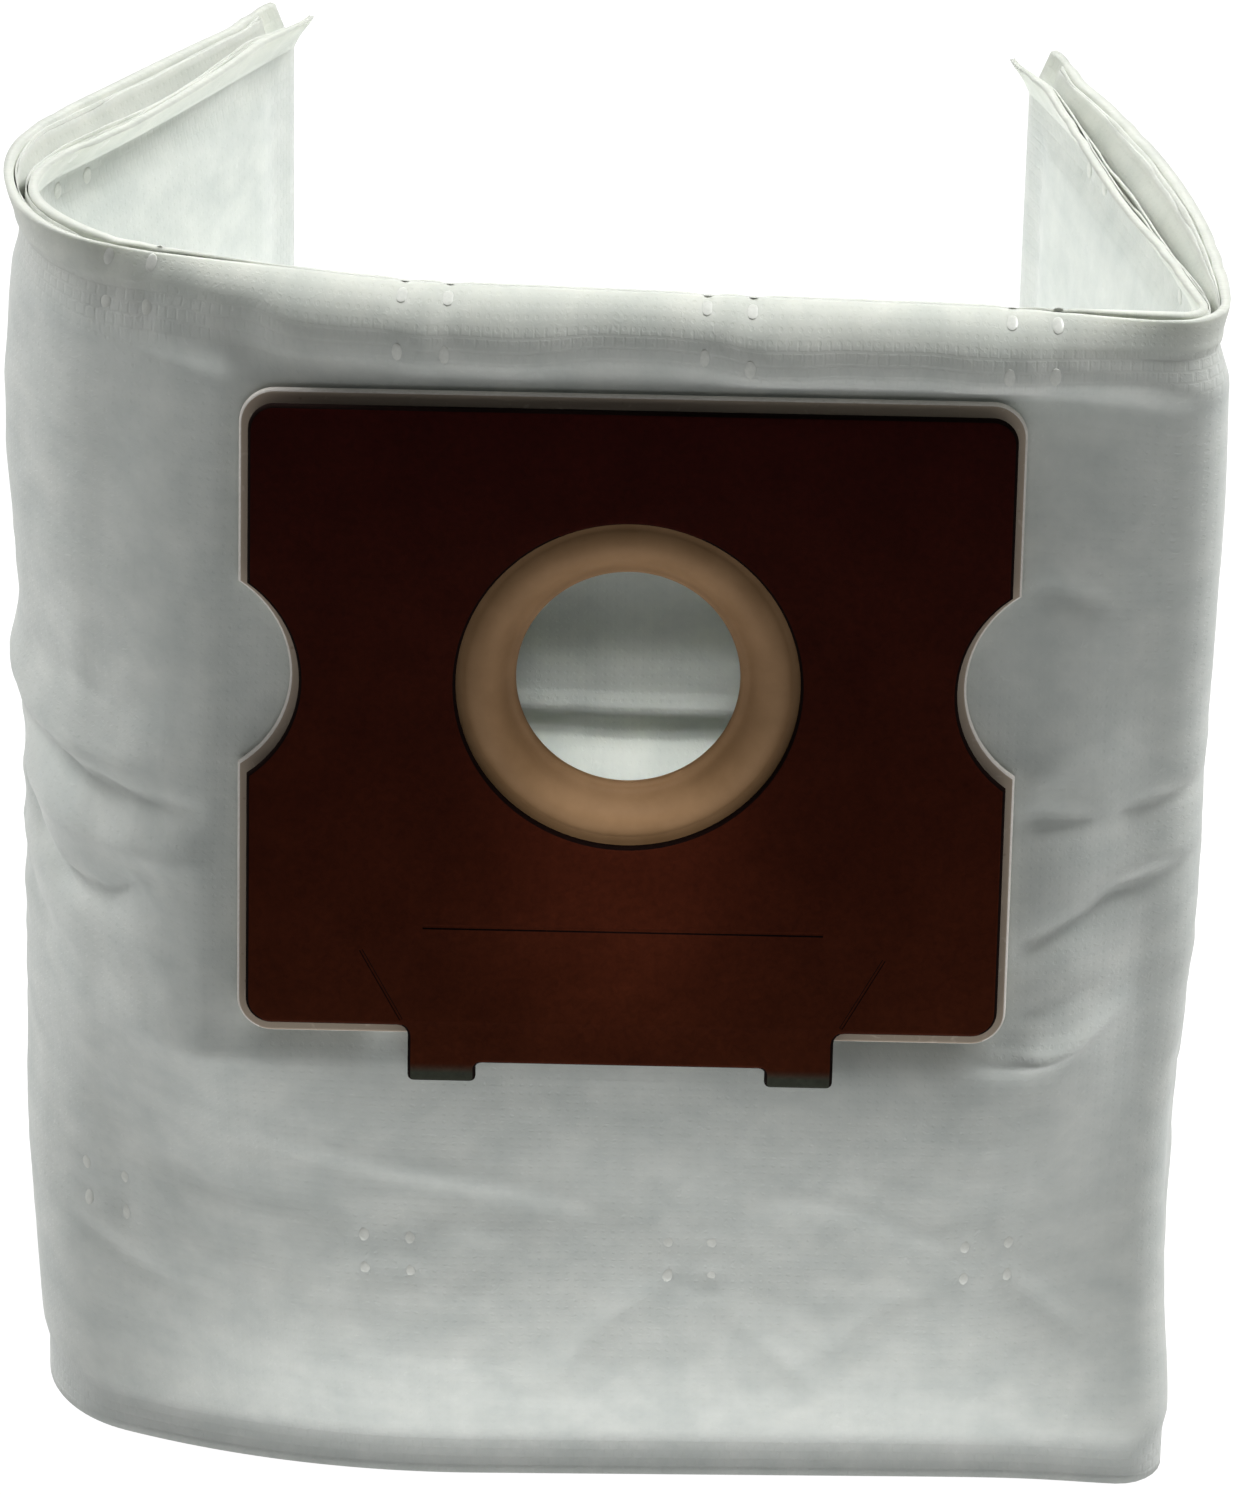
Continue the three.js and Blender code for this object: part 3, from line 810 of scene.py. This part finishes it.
def collar_outline(border, drop, tongue):
    """Outline of a collar card, to the right from the middle of its lower edge."""
    side = COLLAR_WIDTH / 2 + border
    above = COLLAR_ABOVE + border
    below = COLLAR_BELOW + border + drop
    corner = COLLAR_CORNER + border
    radius = NOTCH_RADIUS - border
    notch_x = COLLAR_WIDTH / 2 - NOTCH_DEPTH + NOTCH_RADIUS
    reach = math.degrees(math.acos((notch_x - side) / radius))
    right = tongue_outline() if tongue else []
    right += arc(side - corner, corner - below, corner, -90, 0)
    right += arc(notch_x, 0, radius, 180 + reach, 180 - reach, FINE_STEPS)
    right += arc(side - corner, above - corner, corner, 0, 90)
    return right + [(-x, y) for x, y in reversed(right)]


def tongue_outline():
    """The tongue's right half, with its foot."""
    end = TONGUE_WIDTH / 2
    inner = end - FOOT_WIDTH
    lip = -COLLAR_BELOW - TONGUE_DROP
    tip = lip - FOOT_DROP
    points = arc(inner - FOOT_CORNER, lip - FOOT_CORNER, FOOT_CORNER, 90, 0, 4)
    points += arc(inner + FOOT_CORNER, tip + FOOT_CORNER, FOOT_CORNER, 180, 270, 4)
    points += arc(end - FOOT_CORNER, tip + FOOT_CORNER, FOOT_CORNER, -90, 0, 4)
    # A little lower than the card's edge, so that no two edges fall in one line
    low = -COLLAR_BELOW - TONGUE_CORNER - TONGUE_GAP
    points += arc(end + TONGUE_CORNER, low, TONGUE_CORNER, 180, 90, 4)
    return points


def card(name, outline, hole, thickness, rounding):
    """A flat card with softly rounded edges, in the collar's frame, its face at zero."""
    curve = bpy.data.curves.new(name, "CURVE")
    curve.dimensions = "2D"
    curve.fill_mode = "BOTH"
    curve.extrude = (thickness / 2 - rounding) * MM
    curve.bevel_depth = rounding * MM
    curve.bevel_resolution = 3
    curve.offset = -rounding * MM
    for points in (outline, arc(0, 0, hole, 0, 360, WINDOW_STEPS)[:-1]):
        spline = curve.splines.new("POLY")
        spline.points.add(len(points) - 1)
        spline.use_cyclic_u = True
        for point, (x, y) in zip(spline.points, points):
            point.co = (x * MM, y * MM, 0, 1)
    mesh = made_mesh(new_object(name, curve), name)
    mesh.transform(Matrix.Translation((0, 0, -thickness / 2 * MM)))
    return mesh


def made_mesh(maker, name):
    """The mesh of an object as its modifiers and nodes leave it; the object goes."""
    bpy.context.view_layer.update()
    graph = bpy.context.evaluated_depsgraph_get()
    mesh = bpy.data.meshes.new_from_object(maker.evaluated_get(graph))
    mesh.name = name
    discard(maker)
    return mesh


def discard(maker):
    """Removes an object with its mesh or curve."""
    data = maker.data
    bpy.data.objects.remove(maker)
    store = bpy.data.curves if isinstance(data, bpy.types.Curve) else bpy.data.meshes
    store.remove(data)


def weld_doubles(mesh, distance=0.005):
    with editing(mesh) as bm:
        bmesh.ops.remove_doubles(bm, verts=bm.verts, dist=distance * MM)
        bmesh.ops.recalc_face_normals(bm, faces=bm.faces)


def bend_feet(mesh):
    """Bends the tongue's two feet towards the bag over a short round."""
    hinge = -COLLAR_BELOW - TONGUE_DROP
    radius = FOOT_ROUND / FOOT_BEND
    with editing(mesh) as bm:
        for drop in FOOT_CUTS:
            bmesh.ops.bisect_plane(
                bm,
                geom=[*bm.verts, *bm.edges, *bm.faces],
                plane_co=(0, (hinge - drop) * MM, 0),
                plane_no=(0, 1, 0),
                dist=0.0001 * MM,
            )
        for vert in bm.verts:
            below = hinge - vert.co.y / MM
            if below > 0:
                turn = min(below, FOOT_ROUND) / radius
                straight = max(0, below - FOOT_ROUND)
                face = vert.co.z / MM
                down = radius * math.sin(turn) + straight * math.cos(turn)
                back = radius * (1 - math.cos(turn)) + straight * math.sin(turn)
                vert.co.y = (hinge - down - face * math.sin(turn)) * MM
                vert.co.z = (face * math.cos(turn) - back) * MM


def score_cutter(x0, y0, x1, y1, lift=SCORE_LIFT):
    """A round bar lying in the card's face, for a pressed score line."""
    length = math.dist((x0, y0), (x1, y1))
    place = (
        Matrix.Translation(Vector(((x0 + x1) / 2, (y0 + y1) / 2, lift)) * MM)
        @ Matrix.Rotation(math.atan2(y1 - y0, x1 - x0), 4, "Z")
        @ Matrix.Rotation(math.pi / 2, 4, "Y")
    )
    radius = SCORE_RADIUS * MM
    mesh = bpy.data.meshes.new("score")
    with editing(mesh) as bm:
        bmesh.ops.create_cone(bm, cap_ends=True, segments=FINE_STEPS, radius1=radius, radius2=radius,
                              depth=length * MM, matrix=place)
    return new_object("score", mesh)


def collar_plate():
    outline = collar_outline(0, 0, True)
    mesh = card("collar_plate", outline, WINDOW_RADIUS, PLATE_THICKNESS, PLATE_ROUNDING)
    weld_doubles(mesh)
    bend_feet(mesh)
    start, over, up = FAINT_SCORE
    slant_x = TONGUE_WIDTH / 2 + start
    slant_y = start - COLLAR_BELOW
    end = TONGUE_WIDTH / 2 - SCORE_MARGIN
    lines = [(-end, -SCORE_DROP, end, -SCORE_DROP)]
    lines += [
        (side * slant_x, slant_y, side * (slant_x + over), slant_y + up, FAINT_SCORE_LIFT)
        for side in (-1, 1)
    ]
    maker = new_object("collar_plate", mesh)
    cutters = [score_cutter(*line) for line in lines]
    for cutter in cutters:
        groove = maker.modifiers.new("score", "BOOLEAN")
        groove.operation = "DIFFERENCE"
        groove.solver = "EXACT"
        groove.object = cutter
    scored = made_mesh(maker, "collar_plate")
    for cutter in cutters:
        discard(cutter)
    mark_cut_edges(scored)
    return on_collar(scored, SHARP_ANGLE)


def mark_cut_edges(mesh):
    """The faces that turn away from a card's face, or a foot's, take its second material."""
    facings = [Vector((0, -math.sin(turn), math.cos(turn))) for turn in (0, FOOT_BEND)]
    for face in mesh.polygons:
        face.material_index = int(max(abs(face.normal @ facing) for facing in facings) < CUT_EDGE_LIMIT)


def on_collar(mesh, degrees):
    """Moves a mesh to the collar's place, with sharp edges where faces meet at more than an angle."""
    mesh.transform(COLLAR_PLACE)
    limit = math.radians(degrees)
    with editing(mesh) as bm:
        for edge in bm.edges:
            edge.smooth = len(edge.link_faces) == 2 and edge.calc_face_angle(0) < limit
        for face in bm.faces:
            face.smooth = True
    return mesh


def collar_backing():
    outline = collar_outline(BACKING_BORDER, BACKING_LOWER, False)
    hole = WINDOW_RADIUS + BACKING_CLEARANCE
    mesh = card("collar_backing", outline, hole, BACKING_THICKNESS, BACKING_ROUNDING)
    weld_doubles(mesh)
    mark_cut_edges(mesh)
    mesh.transform(Matrix.Translation((0, 0, (GLUE_LINE + BACKING_THICKNESS - STACK) * MM)))
    return on_collar(mesh, SHARP_ANGLE)


def lathe(name, profile, segments):
    """A closed profile of (radius, height) turned about the collar's axis."""
    turn = np.linspace(0, 2 * math.pi, segments, endpoint=False)
    count = len(profile)
    points = [(r * math.cos(a) * MM, r * math.sin(a) * MM, w * MM) for a in turn for r, w in profile]
    faces = [
        (i * count + j, i * count + (j + 1) % count,
         (i + 1) % segments * count + (j + 1) % count, (i + 1) % segments * count + j)
        for i in range(segments)
        for j in range(count)
    ]
    mesh = bpy.data.meshes.new(name)
    mesh.from_pydata(points, [], faces)
    weld_doubles(mesh)
    return mesh


def seal_ring():
    """A flat washer behind the plate, dished in the window and beaded round its hole."""
    outer = WINDOW_RADIUS + SEAL_BORDER
    neck = WINDOW_RADIUS - SEAL_THICKNESS
    front = -PLATE_THICKNESS - GLUE_LINE
    back = front - SEAL_THICKNESS
    lip_radius = HOLE_RADIUS + SEAL_BEAD
    lip_depth = front - SEAL_DISH
    last = SEAL_FACE_STEPS[1]
    face = [(outer, back), (outer, front), (neck, front)]
    for step in np.linspace(*SEAL_FACE_STEPS):
        slope = front + (lip_depth + SEAL_BEAD - front) * step**3
        crown = SEAL_CROWN * math.sin(math.pi * min(1, step / last)) ** SEAL_CROWN_ROUND
        face.append((neck + (lip_radius - neck) * step, slope + crown))
    face += [(lip_radius + SEAL_BEAD * math.cos(a), lip_depth + SEAL_BEAD * math.sin(a))
             for a in np.radians(np.linspace(*SEAL_BEAD_STEPS))]
    for step in np.linspace(*SEAL_BACK_STEPS):
        slope = back + (lip_depth - SEAL_WEB - back) * smoothstep(step, 0, 1)
        face.append((neck + (lip_radius - neck) * step, slope))
    mesh = lathe("seal_ring", face, ROUND_STEPS)
    return on_collar(mesh, SEAL_SHARP_ANGLE)


def link(tree, source, output, target, socket):
    tree.links.new(source.outputs[output], target.inputs[socket])


def new_material(name):
    material = bpy.data.materials.new(name)
    material.use_nodes = True
    tree = material.node_tree
    shader = tree.nodes["Principled BSDF"]
    return material, tree, shader


def set_values(made, **values):
    """Values named with a capital are a node's sockets', the others its settings."""
    for name, value in values.items():
        if name[0].isupper():
            made.inputs[name.replace("_", " ")].default_value = value
        else:
            setattr(made, name, value)


def add_node(tree, kind, **values):
    made = tree.nodes.new(kind)
    set_values(made, **values)
    return made


def fed(tree, source, output, kind, socket="Vector", **values):
    """A node that takes another's output."""
    made = add_node(tree, kind, **values)
    link(tree, source, output, made, socket)
    return made


def noise(tree, source, output, scale, detail, roughness, **values):
    return fed(tree, source, output, "ShaderNodeTexNoise",
               Scale=scale, Detail=detail, Roughness=roughness, **values)


def ranged(tree, source, output, **values):
    """A value spread from one range over another."""
    return fed(tree, source, output, "ShaderNodeMapRange", "Value", **values)


def ramp(tree, source, output, stops):
    made = tree.nodes.new("ShaderNodeValToRGB")
    elements = made.color_ramp.elements
    while len(elements) < len(stops):
        elements.new(0.5)
    for element, (place, color) in zip(elements, stops):
        element.position = place
        element.color = (*color, 1)
    link(tree, source, output, made, "Fac")
    return made


def multiplied(tree, share, first, output, second):
    """A colour multiplied, to a share, by a ramp's colour."""
    made = add_node(tree, "ShaderNodeMix", data_type="RGBA", blend_type="MULTIPLY")
    made.inputs[0].default_value = share
    tree.links.new(first.outputs[output], made.inputs[6])
    tree.links.new(second.outputs["Color"], made.inputs[7])
    return made


def roughen(tree, shader, source, output, low, high):
    """The roughness runs from low to high as a value does from 0 to 1."""
    rough = ranged(tree, source, output, To_Min=low, To_Max=high)
    link(tree, rough, "Result", shader, "Roughness")


def emboss(tree, shader, source, output, strength, depth):
    """Fine relief; its depth is in millimetres."""
    bump = fed(tree, source, output, "ShaderNodeBump", "Height", Strength=strength, Distance=depth * MM)
    link(tree, bump, "Normal", shader, "Normal")


def srgb(red, green, blue):
    """Linear colour of an 8-bit screen colour."""
    return tuple(
        c / 255 / 12.92 if c <= 10 else ((c / 255 + 0.055) / 1.055) ** 2.4
        for c in (red, green, blue)
    )


def fabric_material():
    """White spun-bonded non-woven: random fibres held by rows of small bond points."""
    material, tree, shader = new_material("fabric")
    flat = add_node(tree, "ShaderNodeUVMap", uv_map="flat")
    size = fed(tree, flat, "UV", "ShaderNodeMapping", Scale=(BAG_WIDTH, BAG_HEIGHT, 1))
    fibre = noise(tree, size, "Vector", 1.1, 4, 0.55, noise_type="RIDGED_MULTIFRACTAL", Distortion=1.4)
    cloud = noise(tree, size, "Vector", 0.12, 3, 0.6)
    turned = fed(tree, size, "Vector", "ShaderNodeMapping",
                 Rotation=(0, 0, math.radians(45)), Scale=(3.2, 3.2, 1))
    parts = fed(tree, turned, "Vector", "ShaderNodeSeparateXYZ")
    both = add_node(tree, "ShaderNodeMath", operation="MULTIPLY")
    for place, axis in enumerate("XY"):
        wave = fed(tree, parts, axis, "ShaderNodeMath", 0, operation="SINE")
        link(tree, wave, 0, both, place)
    bond = ranged(tree, both, 0, interpolation_type="SMOOTHSTEP", From_Min=0.55, From_Max=0.85)
    pressed = add_node(tree, "ShaderNodeAttribute", attribute_name="pressed")

    tone = ramp(tree, cloud, "Fac", [(0.3, srgb(214, 219, 215)), (0.7, srgb(232, 235, 230))])
    shade = ramp(tree, fibre, "Fac", [(0.25, (0.86, 0.87, 0.86)), (0.8, (1, 1, 1))])
    mottled = multiplied(tree, 0.5, tone, "Color", shade)
    place = fed(tree, flat, "UV", "ShaderNodeSeparateXYZ")
    cream = ramp(tree, place, "Y", [(0.935, (1, 1, 1)), (0.995, (1, 0.99, 0.945))])
    edged = multiplied(tree, 1, mottled, 2, cream)
    link(tree, edged, 2, shader, "Base Color")
    roughen(tree, shader, pressed, "Fac", 0.82, 0.48)

    pits = fed(tree, bond, "Result", "ShaderNodeMath", 0, operation="MULTIPLY_ADD")
    pits.inputs[1].default_value = -0.6
    link(tree, fibre, "Fac", pits, 2)
    knurl = fed(tree, size, "Vector", "ShaderNodeTexBrick", Scale=1, Mortar_Size=0.22,
                Mortar_Smooth=0.6, Brick_Width=1.5, Row_Height=1.5,
                Color1=(1, 1, 1, 1), Color2=(1, 1, 1, 1), Mortar=(0, 0, 0, 1))
    relief = fed(tree, knurl, "Color", "ShaderNodeMath", 0, operation="MULTIPLY_ADD")
    link(tree, pressed, "Fac", relief, 1)
    link(tree, pits, 0, relief, 2)
    emboss(tree, shader, relief, 0, 0.35, 0.12)
    set_values(shader, Subsurface_Weight=0.5, Subsurface_Radius=(1, 1, 0.95),
               Subsurface_Scale=0.8 * MM, Sheen_Weight=0.12, Sheen_Roughness=0.5,
               Specular_IOR_Level=0.3)
    return material


def spot_material():
    """Fabric melted to a smooth milky film in the spot welds."""
    material, tree, shader = new_material("welded_spots")
    place = add_node(tree, "ShaderNodeTexCoord")
    cloud = noise(tree, place, "Object", 900, 3, 0.6)
    tone = ramp(tree, cloud, "Fac", [(0.3, srgb(216, 219, 211)), (0.7, srgb(232, 234, 227))])
    link(tree, tone, "Color", shader, "Base Color")
    roughen(tree, shader, cloud, "Fac", 0.22, 0.42)
    emboss(tree, shader, cloud, "Fac", 0.3, 0.05)
    return material


# Colour of the face with its print, from the feet, whose edges are bare, to the top; the brown grows
# darker towards the top, a painted shade over the print's own colour
PRINT_AND_SHADE_STOPS = [
    (0.02, srgb(58, 61, 52)),
    (0.036, srgb(74, 33, 17)),
    (0.3, srgb(66, 27, 14)),
    (1, srgb(45, 11, 8)),
]


def plate_material():
    """Dark brown board, calendered smooth, with a faint fibre in its surface, and painted shade that
    darkens it towards the top.
    """
    material, tree, shader = new_material("brown_card")
    place = add_node(tree, "ShaderNodeTexCoord")
    fibre = noise(tree, place, "Object", 900, 5, 0.65, Distortion=0.6)
    cloud = noise(tree, place, "Object", 90, 4, 0.6)
    parts = fed(tree, place, "Object", "ShaderNodeSeparateXYZ")
    foot = (HINGE_HEIGHT - FOOT_DROP) * MM
    top = (COLLAR_HEIGHT + COLLAR_ABOVE) * MM
    # The brown's fall from foot to top is painted shade, not a change in the print
    height = ranged(tree, parts, "Z", From_Min=foot, From_Max=top)
    print_and_shade = ramp(tree, height, "Result", PRINT_AND_SHADE_STOPS)
    cloudy = ramp(tree, cloud, "Fac", [(0.3, (0.86, 0.84, 0.84)), (0.7, (1.14, 1.16, 1.16))])
    tone = multiplied(tree, 1, print_and_shade, "Color", cloudy)
    grain = ramp(tree, fibre, "Fac", [(0.3, (0.72, 0.7, 0.7)), (0.7, (1.15, 1.12, 1.1))])
    mixed = multiplied(tree, 0.8, tone, 2, grain)
    link(tree, mixed, 2, shader, "Base Color")
    roughen(tree, shader, fibre, "Fac", 0.48, 0.66)
    emboss(tree, shader, fibre, "Fac", 0.25, 0.06)
    set_values(shader, Specular_IOR_Level=0.02)
    return material


def cut_edge_material(name, dark, light):
    """A card's cut edge: pressed board with its layers showing faintly."""
    material, tree, shader = new_material(name)
    place = add_node(tree, "ShaderNodeTexCoord")
    layers = fed(tree, place, "Object", "ShaderNodeMapping", Scale=(1, 6, 1))
    fibre = noise(tree, layers, "Vector", 900, 4, 0.7)
    tone = ramp(tree, fibre, "Fac", [(0.3, srgb(*dark)), (0.7, srgb(*light))])
    link(tree, tone, "Color", shader, "Base Color")
    emboss(tree, shader, fibre, "Fac", 0.4, 0.08)
    set_values(shader, Roughness=0.85, Specular_IOR_Level=0.05)
    return material


def board_material():
    """Uncoated grey-brown board with paper fibres and dark flecks."""
    material, tree, shader = new_material("raw_card")
    place = add_node(tree, "ShaderNodeTexCoord")
    fibre = noise(tree, place, "Object", 600, 4, 0.6, noise_type="RIDGED_MULTIFRACTAL", Distortion=1.2)
    fleck = fed(tree, place, "Object", "ShaderNodeTexVoronoi", Scale=420, Randomness=1)
    tone = ramp(tree, fibre, "Fac", [(0.25, srgb(184, 168, 150)), (0.8, srgb(218, 205, 190))])
    spots = ramp(tree, fleck, "Distance", [(0.05, (0.6, 0.55, 0.5)), (0.14, (1, 1, 1))])
    mixed = multiplied(tree, 0.6, tone, "Color", spots)
    link(tree, mixed, 2, shader, "Base Color")
    emboss(tree, shader, fibre, "Fac", 0.4, 0.08)
    set_values(shader, Roughness=0.9)
    return material


def rubber_material():
    """Matt tan rubber with a faint bloom."""
    material, tree, shader = new_material("seal_rubber")
    place = add_node(tree, "ShaderNodeTexCoord")
    cloud = noise(tree, place, "Object", 150, 4, 0.6)
    grain = noise(tree, place, "Object", 1500, 2, 0.5)
    tone = ramp(tree, cloud, "Fac", [(0.3, srgb(156, 119, 79)), (0.7, srgb(172, 134, 94))])
    link(tree, tone, "Color", shader, "Base Color")
    roughen(tree, shader, cloud, "Fac", 0.6, 0.78)
    emboss(tree, shader, grain, "Fac", 0.2, 0.05)
    return material


def add_lamp(name, light, place, target):
    """A lamp at a place, turned to its target, both in metres."""
    lamp = new_object(name, light)
    lamp.location = place
    lamp.rotation_euler = (Vector(target) - Vector(place)).to_track_quat("-Z", "Y").to_euler()
    return lamp


def add_area_light(name, place, target, size, power, spread=180):
    light = bpy.data.lights.new(name, "AREA")
    light.shape = "RECTANGLE"
    light.size, light.size_y = size
    light.energy = power
    light.spread = math.radians(spread)
    add_lamp(name, light, place, target).visible_camera = False


def add_snoot(place, target, power):
    """A narrow light that falls through the collar's hole."""
    light = bpy.data.lights.new("snoot", "SPOT")
    light.energy = power
    light.spot_size = math.radians(2.4)
    light.spot_blend = 1
    light.shadow_soft_size = 0.01
    add_lamp("snoot", light, place, target)


# The photograph's own view: 30 degrees down, turned a little, through a long lens
CAMERA_PITCH = math.radians(30)
CAMERA_ROLL = math.radians(1.2)
CAMERA_PLACE = (0.002072, -1.12101, 0.75205)
CAMERA_LENS = 205.96
CAMERA_SENSOR = 36
CAMERA_REACH = 30


def add_camera():
    right = Vector((1, 0, 0))
    up = Vector((0, math.sin(CAMERA_PITCH), math.cos(CAMERA_PITCH)))
    forward = Vector((0, math.cos(CAMERA_PITCH), -math.sin(CAMERA_PITCH)))
    turned_right = math.cos(CAMERA_ROLL) * right + math.sin(CAMERA_ROLL) * up
    turned_up = math.cos(CAMERA_ROLL) * up - math.sin(CAMERA_ROLL) * right
    axes = Matrix((turned_right, turned_up, -forward)).transposed()
    lens = bpy.data.cameras.new("camera")
    lens.sensor_fit = "VERTICAL"
    lens.sensor_height = CAMERA_SENSOR
    lens.lens = CAMERA_LENS
    lens.clip_end = CAMERA_REACH
    camera = new_object("camera", lens)
    camera.matrix_world = Matrix.Translation(CAMERA_PLACE) @ axes.to_4x4()
    bpy.context.scene.camera = camera


# Area lights in metres: name, place, target, size, power and, where it is narrow, spread
BAG_MIDDLE = (0, 0.02, 0.12)
AREA_LIGHTS = [
    ("side_left", (-1.4, 0.9, 1.3), BAG_MIDDLE, (0.9, 0.9), 25),
    ("steep_left", (-0.9, 0.25, 1.5), BAG_MIDDLE, (0.5, 0.5), 3),
    ("steep_right", (0.9, 0.25, 1.5), BAG_MIDDLE, (0.5, 0.5), 27),
    ("between_ends", (0.005, 0.02, 0.002), (0.005, 0.02, 1), (0.08, 0.07), 0.1, 100),
    ("at_the_foot", (0.005, -0.062, 0.001), (0.005, -0.062, 1), (0.17, 0.02), 0.0205),
    ("through_cloth", (0.0032, -0.0375, 0.168), (0.0032, -0.0335, 0.12), (0.034, 0.003), 0.0012, 40),
    ("behind_the_ring", (0.0032, -0.0375, 0.15), (0.0032, -0.028, 0.127), (0.034, 0.003), 0.0005, 40),
]
# The narrow light through the collar's hole: place, target and power
SNOOT = ((0.0032, -0.75, 1.0), (0.0032, -0.055, 0.119), 27)


def add_studio():
    """A light table under the bag, a faint room and the lights."""
    mesh = bpy.data.meshes.new("floor")
    reach = 8
    around = [(-reach, -reach, 0), (reach, -reach, 0), (reach, reach, 0), (-reach, reach, 0)]
    mesh.from_pydata(around, [], [(0, 1, 2, 3)])
    floor = new_object("floor", mesh)
    paper, tree, shader = new_material("light_table")
    set_values(shader, Base_Color=(0.12, 0.12, 0.12, 1), Emission_Color=(1, 1, 1, 1),
               Roughness=0.9, Specular_IOR_Level=0.1)
    path = add_node(tree, "ShaderNodeLightPath")
    glow = ranged(tree, path, "Is Camera Ray", To_Min=0.58, To_Max=1)
    link(tree, glow, "Result", shader, "Emission Strength")
    mesh.materials.append(paper)

    world = bpy.data.worlds.new("studio")
    world.use_nodes = True
    tree = world.node_tree
    room = tree.nodes["Background"]
    set_values(room, Color=(0.97, 0.98, 1, 1), Strength=0.07)
    backdrop = add_node(tree, "ShaderNodeBackground", Color=(1, 1, 1, 1), Strength=1)
    path = add_node(tree, "ShaderNodeLightPath")
    seen = fed(tree, path, "Is Camera Ray", "ShaderNodeMixShader", 0)
    link(tree, room, "Background", seen, 1)
    link(tree, backdrop, "Background", seen, 2)
    link(tree, seen, "Shader", tree.nodes["World Output"], "Surface")
    bpy.context.scene.world = world
    for light in AREA_LIGHTS:
        add_area_light(*light)
    add_snoot(*SNOOT)
    bpy.context.scene.view_settings.view_transform = "Standard"
    bpy.context.scene.view_settings.look = "None"


def main():
    add_camera()
    add_studio()
    fabric = fabric_material()
    front = show(front_sheet(), "front_sheet_cloth", "front_sheet", [fabric])
    back = show(back_sheet(), "back_sheet_cloth", "back_sheet", [fabric])
    for number, (front_place, wing_place) in enumerate(PLY_PLACES):
        mesh = ply(f"ply_{number}", front_place, wing_place, RNG_SEED + 60 + 3 * number)
        show(mesh, f"inner_ply_{number}", None, [fabric])
    show(spot_welds(spot_material()), "welded_spots", None, [])
    # The plate's cut edges are near-black, darker than its brown face: the board's own dark edge with a
    # painted shade line along the plate's outline
    dark_edge_and_shade = cut_edge_material("cut_edge", (12, 5, 4), (26, 12, 9))
    pale_edge = cut_edge_material("cut_backing_edge", (226, 219, 210), (247, 243, 237))
    show(collar_plate(), "plate_card", "collar_plate", [plate_material(), dark_edge_and_shade])
    show(collar_backing(), "backing_card", "collar_backing", [board_material(), pale_edge])
    show(seal_ring(), "seal_rubber_ring", "seal_ring", [rubber_material()])


main()
